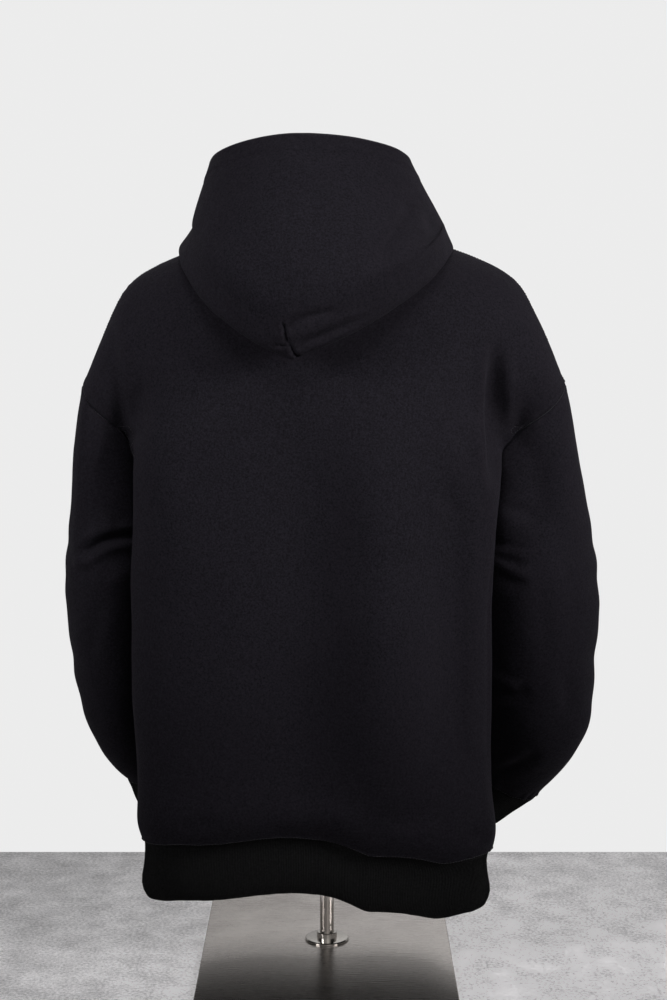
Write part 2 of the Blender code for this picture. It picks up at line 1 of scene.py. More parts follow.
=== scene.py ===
"""Looks for the pullover hoodie on its dress form stand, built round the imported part.

Metres, +Z up, in the part's own frame: the back of the garment faces +Y, the wearer's left
is +X. The cloth pieces follow the same tables as the part's source, at a finer pitch, with
creases, seams, topstitching and ribbing; the form and the stand keep their meshes.
"""
import math

import bpy
import numpy as np
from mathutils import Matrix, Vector
from mathutils.bvhtree import BVHTree


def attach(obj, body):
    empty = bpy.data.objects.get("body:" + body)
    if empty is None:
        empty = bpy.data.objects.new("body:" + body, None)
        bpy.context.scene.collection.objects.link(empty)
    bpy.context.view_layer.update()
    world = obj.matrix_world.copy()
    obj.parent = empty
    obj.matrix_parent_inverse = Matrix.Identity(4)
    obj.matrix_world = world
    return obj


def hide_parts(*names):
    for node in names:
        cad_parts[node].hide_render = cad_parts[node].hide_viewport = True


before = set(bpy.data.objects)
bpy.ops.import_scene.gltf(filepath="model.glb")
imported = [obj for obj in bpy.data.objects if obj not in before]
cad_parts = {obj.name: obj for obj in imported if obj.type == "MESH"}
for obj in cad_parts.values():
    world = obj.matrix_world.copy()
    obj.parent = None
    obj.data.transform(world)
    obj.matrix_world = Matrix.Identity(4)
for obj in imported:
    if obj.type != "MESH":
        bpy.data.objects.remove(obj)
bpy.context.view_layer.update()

MM = 0.001
TAU = 2.0 * math.pi

# ---------------------------------------------------------------- driving sizes
CLOTH = 0.0018          # heavy cotton knit, one layer
RIB = 0.0022            # ribbed knit of the hem and cuffs
HOOD_CLOTH = 0.0030     # the hood is two layers
SEAM = 0.0008           # between the middle surfaces of two panels, so their corners clear
SEAM_HALF = 0.0001      # how far a sleeve's head stands out and down from the armhole
FOLD_SEAM = 0.0022      # the same where the sleeve folds back along the body

HEM_LEVEL = 0.150       # body to hem rib seam, at the side
UNDERARM_LEVEL = 0.430
NOTCH_LEVEL = 0.645     # outer end of the dropped shoulder
NECK_LEVEL = 0.805      # high point of the shoulder
RIB_HEIGHT = 0.065


def numbers(text):
    """Rows of numbers, one for each line or between bars."""
    rows = text.strip().replace("|", "\n").splitlines()
    return [[float(cell) for cell in row.split()] for row in rows]


# Rings of the body, from the hem seam to the neck. "level" is the height at the side.
# reach: half width; back and front: depth each way from the side seams; back_drop and
# front_drop: how far the centre sits below the side; square_b, square_f: 2 is an ellipse,
# more is boxier; groove_b, groove_f: where the arm's hollow lies, in degrees from centre
# back and from centre front; groove: its depth; wide: its half width in degrees; shift,
# side_shift: how far the ring hangs to the wearer's left, at its centre and at its side.
BODY_COLUMNS = ("level", "reach", "back", "front", "back_drop", "front_drop", "square_b",
                "square_f", "groove_b", "groove_f", "groove", "wide", "shift", "side_shift")
BODY_RINGS = numbers("""
     0.15  0.219 0.133 0.121     0      0 2.8  2.3 88 60 0.042 22   0.01   0.01
    0.166  0.224 0.141 0.127     0      0 2.8  2.3 88 60 0.046 22 0.0108 0.0108
      0.2  0.222 0.142 0.129     0      0 2.8  2.3 88 61  0.05 21 0.0125 0.0125
      0.3   0.22  0.14  0.13     0      0 2.8  2.4 89 69 0.052 20 0.0155 0.0155
     0.38   0.22 0.138  0.13     0      0 2.8 2.35 90 78 0.051 20  0.016  0.016
     0.43 0.2235 0.136 0.129     0      0 2.8 2.35 87 80 0.052 20  0.016  0.016
      0.5  0.241 0.134 0.128     0      0 2.8 2.45 73 73 0.054 19  0.016   0.01
    0.545  0.259 0.132 0.127     0      0 2.8 2.55 62 62 0.053 17 0.0155  0.006
    0.577 0.2695 0.131 0.126     0      0 2.8  2.7 54 54 0.049 15 0.0155  0.004
     0.61 0.2735 0.129 0.125     0      0 2.7  2.7 48 48 0.038 15  0.015 0.0025
    0.645  0.263 0.125 0.123     0      0 2.6  2.6 46 46 0.019 15  0.012 0.0025
     0.68 0.2485 0.119 0.119     0  0.004 2.5  2.5 46 46 0.006 15  0.008 0.0025
     0.71 0.2355 0.112 0.116     0  0.014 2.4  2.4 46 46 0.001 15  0.005  0.003
    0.735  0.223 0.104 0.113 0.001  0.029 2.3  2.3 46 46     0 15  0.003  0.003
    0.755  0.207 0.096 0.111 0.003  0.043 2.2  2.2 46 46     0 15  0.002  0.002
    0.775  0.172 0.085 0.108 0.006  0.058 2.1  2.1 46 46     0 15  0.001  0.001
     0.79  0.131 0.075 0.105 0.011 0.0705   2    2 46 46     0 15      0      0
    0.805  0.095 0.067 0.102 0.018  0.083   2    2 46 46     0 15      0      0
""")
# Where a panel ends at the armhole: height, and degrees from its own centre line.
ARMHOLE = numbers("""
    0.43 90 | 0.455 84 | 0.484 77 | 0.519 69 | 0.556 60.5 | 0.591 56.5 | 0.62 66 | 0.6385 80
    0.645 90
""")
# The hem sags unevenly: degrees from centre back, + to the wearer's left, and the height
# off the hem level. The body follows it and evens out by WAVE_TOP.
WAVE_TOP = 0.33
HEM_WAVE = numbers("""
    -180 0.004 | -150 -0.004 | -120 -0.01 | -90 -0.014 | -60 -0.0165 | -46 -0.0164 | -38 -0.0178
    -31 -0.0185 | -23 -0.0127 | -18.5 -0.0096 | -12 -0.0077 | -8 -0.0056 | -5 0.0015 | -2.5 0.0075
    0 0.0123 | 4 0.0139 | 10 0.0118 | 16 0.008 | 22 0.0042 | 36 0.0004 | 45 -0.0034 | 60 -0.006
    90 -0.009 | 120 -0.006 | 150 0 | 180 0.004
""")
# The hem rib, from its seam down: how far down, how much narrower and shallower than the
# body, the depth of the arms' hollow, and the shift.
RIB_COLUMNS = ("down", "narrower", "shallower", "groove", "shift")
RIB_ROWS = (
    (0.000, 0.0025, 0.003, 0.040, 0.0100),
    (0.006, 0.0042, 0.007, 0.039, 0.0110),
    (0.034, 0.0042, 0.009, 0.036, 0.0118),
    (0.058, 0.0050, 0.010, 0.034, 0.0118),
    (RIB_HEIGHT, 0.0085, 0.013, 0.033, 0.0115),
)

# Sleeve rings from the armhole down. Each is an oval whose long way runs from an inner
# point to an outer one, seen from the front, with the depth across it. lean turns it
# forward, in degrees. Over the first SLEEVE_HEAD of its length it grows out of the armhole.
SLEEVE_HEAD = 0.42
SLEEVE_COLUMNS = ("out_x", "out_z", "in_x", "in_z", "mid_y", "deep", "lean")
SLEEVE_LEFT = numbers("""
    0.2655 0.645 0.1935  0.43      0 0.056  0
    0.2725 0.603 0.1945 0.426      0 0.064  0
     0.279 0.555  0.195 0.419  0.001 0.069  0
    0.2855   0.5 0.1955 0.405  0.001 0.071  1
    0.2915  0.44  0.196 0.382 -0.004 0.071  4
     0.291 0.375  0.196 0.345 -0.013  0.07  8
     0.286 0.315  0.195 0.303 -0.027 0.066 14
     0.274 0.255  0.189 0.266 -0.045 0.058 22
     0.253 0.207  0.177 0.232 -0.066 0.047 28
     0.239 0.187  0.172 0.213 -0.077 0.039 30
""")
SLEEVE_RIGHT = numbers("""
    0.2605 0.645  0.176  0.43      0 0.056  0
      0.27 0.603  0.172 0.425      0 0.064  0
    0.2805  0.55   0.17 0.417 -0.002  0.07  1
    0.2925 0.497  0.168 0.402 -0.005 0.073  2
     0.302 0.435  0.167 0.377  -0.01 0.074  4
    0.3055  0.37 0.1665  0.34 -0.017 0.072  8
     0.305 0.305  0.167   0.3 -0.028 0.068 14
    0.3005 0.247  0.169 0.267 -0.046 0.061 24
    0.2755 0.199  0.168 0.238 -0.068 0.051 34
     0.254  0.17  0.166 0.216  -0.08 0.042 38
""")
# Cuff rings: where the sleeve gathers into the cuff, and the open end.
CUFF_LEFT = numbers("""
     0.235  0.18  0.174 0.204 -0.0815  0.034 30
     0.231 0.164 0.1715 0.187   -0.09 0.0325 30
    0.2225 0.131 0.1655 0.154  -0.108 0.0325 30
""")
CUFF_RIGHT = numbers("""
    0.249  0.16 0.169 0.202 -0.085  0.037 38
    0.237 0.149 0.163 0.186 -0.092 0.0345 38
    0.208 0.123 0.135 0.159  -0.11 0.0345 38
""")

# The hood, by angle from its centre back, in polar form about HOOD_CENTRE: out is the
# distance from the centre and up is the height. It leaves the neck seam, rises to a crest,
# falls to the fold that shows as its lower edge, and comes back up to the face opening.
HOOD_CENTRE = (0.0, -0.018)
HOOD_COLUMNS = ("angle", "crest_out", "crest_up", "fold_out", "fold_up", "lip_out", "lip_up",
                "belly_out", "belly_up", "rim_out", "rim_up", "roll")
HOOD_ROWS = numbers("""
      0 0.116 0.832  0.188 0.675  0.198 0.701 0.192 0.776 0.104 0.9075    1
     20 0.115 0.832  0.185 0.704  0.195  0.73 0.188 0.785 0.107 0.9055    1
     40 0.115 0.828  0.177 0.743  0.182  0.77 0.174 0.799 0.115 0.8985 0.85
     60 0.113 0.822  0.163 0.777  0.157 0.799 0.151 0.815 0.117  0.888 0.55
     85  0.11 0.815 0.1435 0.795  0.137 0.806  0.13 0.824  0.11  0.867 0.25
    110 0.099 0.808   0.12 0.799   0.12 0.809 0.119 0.818 0.108  0.842 0.14
    140  0.09  0.77  0.096 0.777  0.098 0.782   0.1 0.786 0.101    0.8 0.06
    165 0.087 0.743  0.092  0.75 0.0935 0.754 0.095 0.758 0.097  0.771 0.02
    180 0.086 0.736   0.09 0.743 0.0915 0.747 0.093 0.751 0.096  0.762    0
""")
INNER_ROLL = (-0.024, 0.032)   # from the fold's edge to the layer inside it, where it rolls
INNER_WAY = 0.45               # how far that is on the way to the crest, where it doesn't
HOOD_STEPS = (0.0, 0.17, 0.38, 0.48, 0.57, 0.78, 1.0)   # where those points lie on the way up
HOOD_SHIFT = (0.004, 0.008, 0.0095, 0.0095, 0.0105, 0.0175)   # sideways, past the seam
HOOD_SHIFT_FADE = (90.0, 175.0)   # degrees over which the front edges lose that shift
HOOD_SKEW = 8.0         # degrees that the lowest point of the fold lies to the left
HOOD_SKEW_SPAN = 70.0
HOOD_TILT = 0.005       # how much higher the fold runs on the left than on the right
HOOD_TILT_SPAN = 60.0
HOOD_FRONT_GAP = 0.00012  # half the gap where the two front edges meet
HOOD_SEAT = 0.0020      # the hood's seam edge stands this far above the neck edge


# ---------------------------------------------------------------- curves through tables
def natural_spline(knots, values):
    """The natural cubic through the points, as a function."""
    k = np.asarray(knots, float)
    v = np.asarray(values, float)
    h = np.diff(k)
    last = len(k) - 1
    rows = np.eye(last + 1)
    right = np.zeros(last + 1)
    for i in range(1, last):
        rows[i, i - 1:i + 2] = h[i - 1], 2.0 * (h[i - 1] + h[i]), h[i]
        right[i] = 6.0 * ((v[i + 1] - v[i]) / h[i] - (v[i] - v[i - 1]) / h[i - 1])
    bend = np.linalg.solve(rows, right)

    def at(x):
        x = np.asarray(x, float)
        i = np.clip(np.searchsorted(k, x) - 1, 0, last - 1)
        below, above, step = x - k[i], k[i + 1] - x, h[i]
        return ((bend[i] * above ** 3 + bend[i + 1] * below ** 3) / (6.0 * step)
                + (v[i] / step - bend[i] * step / 6.0) * above
                + (v[i + 1] / step - bend[i + 1] * step / 6.0) * below)
    return at


def columns(names, table, against=None):
    """One spline for each named column of a table, against its first column or a list."""
    rows = np.array(table, float)
    knots = rows[:, 0] if against is None else against
    return {name: natural_spline(knots, rows[:, i]) for i, name in enumerate(names)}


def cosd(angle):
    return np.cos(np.radians(angle))


def sind(angle):
    return np.sin(np.radians(angle))


def row_at(splines, x):
    return {name: float(at(x)) for name, at in splines.items()}


def curve(knots, points, at):
    """Places on the smooth curve through points, at positions among its knots."""
    return np.stack([natural_spline(knots, axis)(at) for axis in points.T], axis=-1)


def ease(x, low, high):
    """0 below low, 1 above high, smooth between."""
    t = np.clip((x - low) / (high - low), 0.0, 1.0)
    return t * t * (3.0 - 2.0 * t)


def bump(distance, width):
    return np.exp(-(distance / width) ** 2)


BODY = columns(BODY_COLUMNS, BODY_RINGS)
HEM = natural_spline(*zip(*HEM_WAVE))
HEM_RING = row_at(BODY, HEM_LEVEL)
RIB_SHAPE = columns(RIB_COLUMNS, RIB_ROWS)
ARMHOLE_EDGE = natural_spline(*zip(*ARMHOLE))


# ---------------------------------------------------------------- the body's surface
def oval(reach, deep, square, angle):
    """A point of a superellipse and its outward normal, angle in degrees from +depth."""
    s = np.abs(sind(angle)) ** (2.0 / square)
    c = np.abs(cosd(angle)) ** (2.0 / square)
    nx = np.maximum(s, 1e-6) ** (square - 1.0) / reach
    ny = np.maximum(c, 1e-6) ** (square - 1.0) / deep
    length = np.hypot(nx, ny)
    return reach * s, deep * c, nx / length, ny / length


def ring_point(ring, angle, groove, narrower=0.0, shallower=0.0):
    """Across and depth of a ring's point with the arm's hollow, whether it's on the back,
    and its degrees from its own panel's centre."""
    around = np.abs(angle)
    back = around <= 90.0
    own = np.where(back, around, 180.0 - around)
    deep = np.where(back, ring["back"], ring["front"]) - shallower
    square = np.where(back, ring["square_b"], ring["square_f"])
    x, y, nx, ny = oval(ring["reach"] - narrower, deep, square, own)
    hollow = 1.0 - ((1.0 - bump(around - ring["groove_b"], ring["wide"]))
                    * (1.0 - bump(around - (180.0 - ring["groove_f"]), ring["wide"])))
    x = np.sign(angle + 1e-9) * (x - groove * hollow * nx)
    y = np.where(back, 1.0, -1.0) * (y - groove * hollow * ny)
    return x, y, back, own


def body_point(level, angle):
    """The body's middle surface. angle runs from centre back, + to the left, to 180."""
    level, angle = np.broadcast_arrays(np.asarray(level, float), np.asarray(angle, float))
    ring = {name: at(level) for name, at in BODY.items()}
    x, y, back, own = ring_point(ring, angle, ring["groove"])
    drop = np.where(back, ring["back_drop"], ring["front_drop"])
    drop = drop * cosd(own) ** 2
    wave = HEM(np.clip(angle, -180.0, 180.0)) * (1.0 - ease(level, HEM_LEVEL, WAVE_TOP))
    to_side = sind(own) ** 2
    shift = ring["shift"] + (ring["side_shift"] - ring["shift"]) * to_side
    return np.stack([x + shift, y, level - drop + wave], axis=-1)


def rib_point(down, angle):
    """The hem rib's middle surface, down from its seam."""
    part = row_at(RIB_SHAPE, down)
    x, y, _, _ = ring_point(HEM_RING, angle, part["groove"], part["narrower"],
                            part["shallower"])
    return np.stack([x + part["shift"], y, HEM_LEVEL - down + HEM(angle)], axis=-1)


def panel_edge(level):
    """Degrees from the panel's centre to its edge at this height."""
    inside = (level > UNDERARM_LEVEL) & (level < NOTCH_LEVEL)
    return np.where(inside, ARMHOLE_EDGE(np.clip(level, UNDERARM_LEVEL, NOTCH_LEVEL)), 90.0)


# ---------------------------------------------------------------- sleeves and cuffs
def oval_ring(row, turn, side):
    """Points of one sleeve or cuff ring. turn 0 is its outer point, 90 its back."""
    out = np.array([row["out_x"], 0.0, row["out_z"]])
    inner = np.array([row["in_x"], 0.0, row["in_z"]])
    middle = (out + inner) / 2.0 + np.array([0.0, row["mid_y"], 0.0])
    across = (out - inner) / 2.0
    deep = row["deep"] * np.array([0.0, cosd(row["lean"]), -sind(row["lean"])])
    points = middle + np.outer(cosd(turn), across) + np.outer(sind(turn), deep)
    points[:, 0] *= side
    return points


def armhole_loop(turn, side):
    """The armhole's seam line at each turn: 0 the notch, 90 on the back, 180 underarm."""
    middle = (NOTCH_LEVEL + UNDERARM_LEVEL) / 2.0
    half = (NOTCH_LEVEL - UNDERARM_LEVEL) / 2.0
    level = middle + half * cosd(turn)
    edge = panel_edge(level)
    front = turn > 180.0
    loop = body_point(level, side * np.where(front, 180.0 - edge, edge))
    folded = (1.0 - cosd(turn)) / 2.0
    loop[:, 0] += side * (SEAM_HALF + (FOLD_SEAM - SEAM) * folded)
    loop[:, 2] -= SEAM_HALF * (1.0 - folded)
    return loop


# ---------------------------------------------------------------- fine grids
def lengths(points, axis):
    """Distance covered along an axis of a grid, starting from 0."""
    step = np.linalg.norm(np.diff(points, axis=axis), axis=-1)
    zero = np.zeros_like(np.take(step, [0], axis=axis))
    return np.concatenate([zero, np.cumsum(step, axis=axis)], axis=axis)


def unit(vectors):
    return vectors / np.maximum(np.linalg.norm(vectors, axis=-1, keepdims=True), 1e-12)


def looped(points):
    """A ring's points with its first one again at the end."""
    return np.concatenate([points, points[:1]])


def even(along, count):
    """The positions, counted in steps of a list of lengths, that share it out evenly."""
    return np.interp(np.linspace(0.0, along[-1], count), along, np.arange(len(along)))


def panel_grid(back, levels, across, dense=480):
    """A body panel: rows from the hem to the neck, columns evenly spaced along each row."""
    def angle(own):
        return own if back else np.where(own < 0.0, -180.0 - own, 180.0 - own)
    spread = np.linspace(-1.0, 1.0, dense + 1)
    spread = np.sign(spread) * np.abs(spread) ** 1.5
    turn = np.zeros((len(levels), across + 1))
    for i, level in enumerate(levels):
        own = spread * float(panel_edge(level))
        at = even(lengths(body_point(level, angle(own)), 0), across + 1)
        turn[i] = np.interp(at, np.arange(dense + 1), own)
    turn = angle(turn)
    level = np.asarray(levels)[:, None]
    grid = body_point(level, turn)
    across = body_point(level, turn + 0.1) - body_point(level, turn - 0.1)
    up = body_point(level + 0.0005, turn) - body_point(level - 0.0005, turn)
    normal = unit(np.cross(up, across))
    return grid, normal if back else -normal


def panel_levels(lower, middle, upper):
    """Heights from the hem to the neck, closer together at both ends of the armhole."""
    t = np.linspace(0.0, 1.0, middle + 1)
    hole = 0.75 * (1.0 - np.cos(math.pi * t)) / 2.0 + 0.25 * t
    hem_end = HEM_LEVEL + 0.030
    hem = HEM_LEVEL + (hem_end - HEM_LEVEL) * np.linspace(0.0, 1.0, 25) ** 1.5
    return np.concatenate([
        hem[:-1], np.linspace(hem_end, UNDERARM_LEVEL, lower + 1)[:-1],
        UNDERARM_LEVEL + (NOTCH_LEVEL - UNDERARM_LEVEL) * hole,
        np.linspace(NOTCH_LEVEL, NECK_LEVEL, upper + 1)[1:]])


def rib_grid(downs, count, dense=4000):
    """The hem rib, closed round, with its columns evenly spaced at mid height."""
    spread = np.linspace(-1.0, 1.0, dense + 1)
    angle = 180.0 * spread
    along = lengths(rib_point(RIB_HEIGHT / 2.0, angle), 0)
    angle = np.interp(even(along, count + 1)[:-1], np.arange(dense + 1), angle)
    return np.array([rib_point(down, angle) for down in downs])


def table_rings(table, steps, around, side):
    """Rings of a sleeve or cuff at steps from 0 to 1 along its table, and their turns."""
    rows = columns(SLEEVE_COLUMNS, table, np.linspace(0.0, 1.0, len(table)))
    turn = np.linspace(0.0, 360.0, around, endpoint=False)
    return turn, np.array([oval_ring(row_at(rows, step), turn, side) for step in steps])


def sleeve_grid(table, cuff, side, along, around):
    """A sleeve from the armhole to its cuff, gathered in over the last centimetre."""
    steps = np.linspace(0.0, 1.0, along + 1)
    turn, rings = table_rings(table, steps, around, side)
    own = 1.0 - ease(steps, 0.0, SLEEVE_HEAD)
    rings = rings + own[:, None, None] * (armhole_loop(turn, side) - rings[0])
    top, below = (oval_ring(dict(zip(SLEEVE_COLUMNS, row)), turn, side) for row in cuff[:2])
    gap = top + SEAM * unit(top - below) - rings[-1]
    onward = np.linalg.norm(gap, axis=1, keepdims=True) * unit(rings[-1] - rings[-2])
    t = np.linspace(0.0, 1.0, 11)[1:, None, None]
    end = rings[-1] + gap * ease(t, 0.0, 1.0) + onward * t * (1.0 - t) ** 2
    return np.concatenate([rings, end])


def hood_point(angles, ups):
    """The hood's middle surface, rows from the neck seam to the face opening."""
    part = columns(HOOD_COLUMNS, HOOD_ROWS)
    grid = []
    for angle in angles:
        row = row_at(part, abs(angle))
        skewed = min(abs(angle - HOOD_SKEW * bump(angle, HOOD_SKEW_SPAN)), 180.0)
        fold_out, fold_up = float(part["fold_out"](skewed)), float(part["fold_up"](skewed))
        fold_up += HOOD_TILT * sind(angle) * bump(angle, HOOD_TILT_SPAN)
        roll, plain = row["roll"], INNER_WAY * (1.0 - row["roll"])
        polar = (
            (row["crest_out"], row["crest_up"]),
            (fold_out + INNER_ROLL[0] * roll + (row["crest_out"] - fold_out) * plain,
             fold_up + INNER_ROLL[1] * roll + (row["crest_up"] - fold_up) * plain),
            (fold_out, fold_up),
            (row["lip_out"], row["lip_up"] + fold_up - row["fold_up"]),
            (row["belly_out"], row["belly_up"]),
            (row["rim_out"], row["rim_up"]),
        )
        neck = body_point(NECK_LEVEL, max(min(angle, 179.99), -179.99))
        points = [neck + np.array([0.0, 0.0, HOOD_SEAT])]
        for (out, up), shift in zip(polar, HOOD_SHIFT):
            fade = 1.0 - float(ease(abs(angle), *HOOD_SHIFT_FADE))
            points.append([HOOD_CENTRE[0] + out * sind(angle) + shift * fade,
                           HOOD_CENTRE[1] + out * cosd(angle), up])
        grid.append(curve(HOOD_STEPS, np.array(points), ups))
    grid = np.array(grid).transpose(1, 0, 2)
    grid[:, 0, 0] = -HOOD_FRONT_GAP
    grid[:, -1, 0] = HOOD_FRONT_GAP
    return grid


def normals(grid, closed, flip):
    """Outward normals of a grid of points."""
    if closed:
        across = np.roll(grid, -1, axis=1) - np.roll(grid, 1, axis=1)
    else:
        across = np.gradient(grid, axis=1)
    normal = unit(np.cross(across, np.gradient(grid, axis=0)))
    return -normal if flip else normal


# ---------------------------------------------------------------- creases
# Each view lists the two axes that a crease's points are given in, and the way that the
# cloth it lies on faces.
VIEWS = {
    "back": ((0, 2), (0.0, 1.0, 0.0)),
    "front": ((0, 2), (0.0, -1.0, 0.0)),
    "left": ((1, 2), (1.0, 0.0, 0.0)),
    "right": ((1, 2), (-1.0, 0.0, 0.0)),
    "top": ((0, 1), (0.0, 0.0, 1.0)),
}


def creases(text):
    """Creases under headings of view and kind. Each line has depth and half width in mm, the
    end that stays open (s, e or -), then points in mm, as that view's two axes."""
    rows = []
    for line in text.strip().splitlines():
        first, second, *more = line.split()
        if not more:
            head = first, second
            continue
        ends, *points = more
        points = [tuple(float(v) for v in point.split(",")) for point in points]
        rows.append((*head, float(first), float(second), ends, *points))
    return rows


CREASES = {
    "back": creases("""
back ridge
2.5 7 e 226,735 219,705 212,680 209,640 208,600
1.6 9 - -168,630 -169,670 -176,696 -192,708 -214,706 -232,694
1.6 12 - 60,178 25,190 -15,190 -45,176
15 46 - -46,650 -54,590 -60,470 -60,330 -60,160
13 55 - -52,470 -56,380 -60,250 -62,150
2 9 e -158,560 -157,480 -160,380 -160,260
2 22 - 158,640 160,520 158,400 152,300
back groove
3 8 e 238,700 231,676 228,655 222,620 216,590
11.5 8.5 - -178,704 -178,670 -178,640 -179,606 -180,580 -181,552 -182,520
2.4 8 e -222,664 -220,640 -208,608 -192,582
2.2 11 - -132,612 -150,580 -162,556 -168,536
1.6 9 - -117,540 -132,520 -140,500
2.4 11 - 160,166 150,171 135,178 117,169
2.4 12 - -66,172 -82,185 -92,184 -106,168
1.6 9 - -96,205 -108,196 -122,192
2 9 - -146,170 -160,160 -176,150
6 46 - 40,650 36,590 38,480 40,360
7 34 - -118,590 -130,500 -134,400 -134,300 -128,220
"""),
    "front": creases("""
front groove
3 9 e 226,700 221,670 217,640 208,606 196,582
3 9 e -218,704 -216,668 -212,640 -202,606 -190,582
2.4 12 - 34,722 70,690 110,650 140,604
2.2 12 - -30,720 -66,688 -108,640 -140,590
1.8 14 - 10,690 60,640 100,570
2 11 - 132,610 152,580 160,552
1.8 10 - -128,560 -146,540 -156,512
2.4 11 - 96,176 112,186 132,180 150,168
2.2 11 - -40,168 -60,184 -84,182 -104,166
2.6 40 - -10,620 0,520 10,400 8,260
front fold
2.6 9 - 180,655 176,690 188,712 210,716
2.6 9 - -176,652 -171,688 -184,710 -206,714
front ridge
1.5 14 - 60,172 30,184 0,184 -24,172
1.8 38 - 96,600 100,470 94,330
1.8 36 - -96,590 -102,450 -98,300
"""),
    "sleeve_left": creases("""
back groove
7.5 5.5 e 270,455 261,463 251,470 239,475 224,478 204,480
3 12 e 256,444 240,452 224,458 206,458
1.8 8 - 240,420 252,380 262,330
back ridge
3.6 6 - 278,446 268,450 258,452 248,450
2.2 8 - 258,486 244,490 226,492
1.4 5 s 259,620 263,584 267,540 270,507 278,451
left groove
1.4 13 - 52,470 30,462 4,466 -24,478
1.2 12 - 46,440 18,430 -12,436 -36,450
1.2 13 - 30,350 4,336 -24,336 -50,350
1 12 - 14,300 -14,286 -44,288
1.2 12 - -18,250 -40,234 -66,232 -88,240
left ridge
1.4 12 - 30,600 36,540 34,470
front groove
3.4 8 - 282,424 264,414 240,408 214,412
3 8 - 276,376 256,362 232,358 206,366
2.6 7 - 270,330 250,316 226,316 204,326
2 7 - 256,250 238,240 214,244
front fold
2.4 8 - 250,560 236,520 216,486 202,470
"""),
    "sleeve_right": creases("""
back groove
11.5 8.5 s -179,620 -180,590 -180,560 -180,530
2.6 6 s -172,474 -183,471 -194,475
1.4 9 s -176,438 -190,432 -204,428 -222,426
1.8 7 - -196,515 -212,506 -230,500
2.4 8 s -182,300 -200,296 -216,300 -228,310
2.6 8 - -196,190 -210,200 -228,214 -240,232
1.8 9 - -262,330 -268,300 -272,270
back ridge
10.5 19 - -203,592 -198,545 -195,505 -193,460
2.2 4.5 s -176,460 -190,462 -206,460 -222,457
2.2 5 s -178,452 -190,446 -203,439 -216,436 -228,439
2 6 s -184,318 -200,310 -214,306
1.8 6 - -190,196 -202,206 -214,222
1.4 9 - -244,470 -250,430 -254,380 -256,330
right groove
1.4 13 - 52,470 28,460 0,464 -26,476
1.3 13 - 48,430 20,418 -12,424 -40,440
1.3 14 - 36,352 8,336 -26,336 -54,352
1.1 13 - 10,292 -20,276 -52,280
1.3 13 - -22,240 -46,220 -76,220 -98,230
front groove
3.4 8 - -290,420 -268,408 -240,402 -208,408
3 8 - -288,366 -262,352 -232,350 -200,360
2.6 7 - -280,316 -256,302 -228,302 -200,312
2.2 7 - -270,244 -250,230 -222,232
front fold
2.4 8 - -248,560 -232,520 -210,486 -190,470
"""),
    "hood": creases("""
back slit
5.5 1.5 - 45,714 43,709 40.5,701 37.5,692
2.2 1.5 - 52,691 46,689 39,690
4 1.7 e 38,692 35,687 32,681 27,677
back ridge
1.4 4 - 50,704 46,696 42,686
1.2 5 s 34,698 20,704 0,712 -20,719
2 8 - -105,822 -93,800 -80,780 -66,764
back groove
1.8 4.5 s 38,708 30,714 19,719 6,722 -8,727
2.4 4 - 30,687 16,694 -5,703 -28,713 -48,723
3.4 7 - -97,847 -87,831 -75,811 -65,795 -56,781 -46,769
1.6 6 - -106,832 -108,816 -112,800
1.6 16 - 86,800 64,762 46,736
top groove
2.2 10 - 40,96 10,100 -24,96
"""),
}


def smooth_path(points, count=44):
    """Even samples of a smooth curve through the points."""
    points = np.asarray(points, float)
    knots = lengths(points, 0)
    if len(points) == 2:
        return points[0] + np.linspace(0.0, 1.0, count)[:, None] * (points[1] - points[0])
    return curve(knots, points, np.linspace(0.0, knots[-1], count))


def nearest(places, path):
    """Distance of each place to a path, signed in 2-D (+ on its right), and how far along."""
    start, way = path[:-1], np.diff(path, axis=0)
    square = np.maximum((way ** 2).sum(1), 1e-18)
    best = np.full(len(places), 1e9)
    along = np.zeros(len(places))
    sign = np.ones(len(places))
    for i in range(len(way)):
        off = places - start[i]
        t = np.clip(off @ way[i] / square[i], 0.0, 1.0)
        gap = np.linalg.norm(off - t[:, None] * way[i], axis=1)
        closer = gap < best
        best = np.where(closer, gap, best)
        along = np.where(closer, (i + t) / len(way), along)
        if path.shape[1] == 2:
            side = np.sign(off[:, 1] * way[i][0] - off[:, 0] * way[i][1])
            sign = np.where(closer, -side, sign)
    return best, along, sign


REACH = 3.6             # half widths beyond which a crease isn't felt
FACING = (0.02, 0.30)   # how squarely cloth faces the view where creases begin, and are full
TAPER = 0.30            # share of a crease's length over which a closed end fades


def crease_push(points, normal, view, kind, depth, width, ends, *path):
    """How far a crease moves each point along its normal, in metres."""
    axes, facing = VIEWS[view]
    flat = points.reshape(-1, 3)[:, axes]
    line = smooth_path(np.array(path, float) * MM)
    width = width * MM
    reach = REACH * width
    push = np.zeros(len(flat))
    close = np.all((flat > line.min(0) - reach) & (flat < line.max(0) + reach), axis=1)
    toward = normal.reshape(-1, 3) @ np.array(facing)
    close &= toward > FACING[0]
    if not close.any():
        return push.reshape(points.shape[:2])
    gap, along, sign = nearest(flat[close], line)
    x = gap / width
    if kind == "groove":
        shape = 0.30 * bump(x - 1.9, 0.8) - bump(x, 1.0)
    elif kind == "ridge":
        shape = bump(x, 1.0) - 0.22 * bump(x - 1.9, 0.8)
    elif kind == "slit":
        shape = 0.16 * bump(x - 2.4, 1.1) - np.exp(-x ** 4)
    else:
        x = x * sign
        shape = bump(x, 1.9) * (1.0 - 2.0 * ease(x, -0.30, 0.45))
    fade = ease(toward[close], *FACING)
    if "s" not in ends:
        fade = fade * ease(along, 0.0, TAPER)
    if "e" not in ends:
        fade = fade * (1.0 - ease(along, 1.0 - TAPER, 1.0))
    push[close] = shape * fade * depth * MM
    return push.reshape(points.shape[:2])


WAVES = 9               # to each part of the wander
PHASES = (0.0, 6.283)


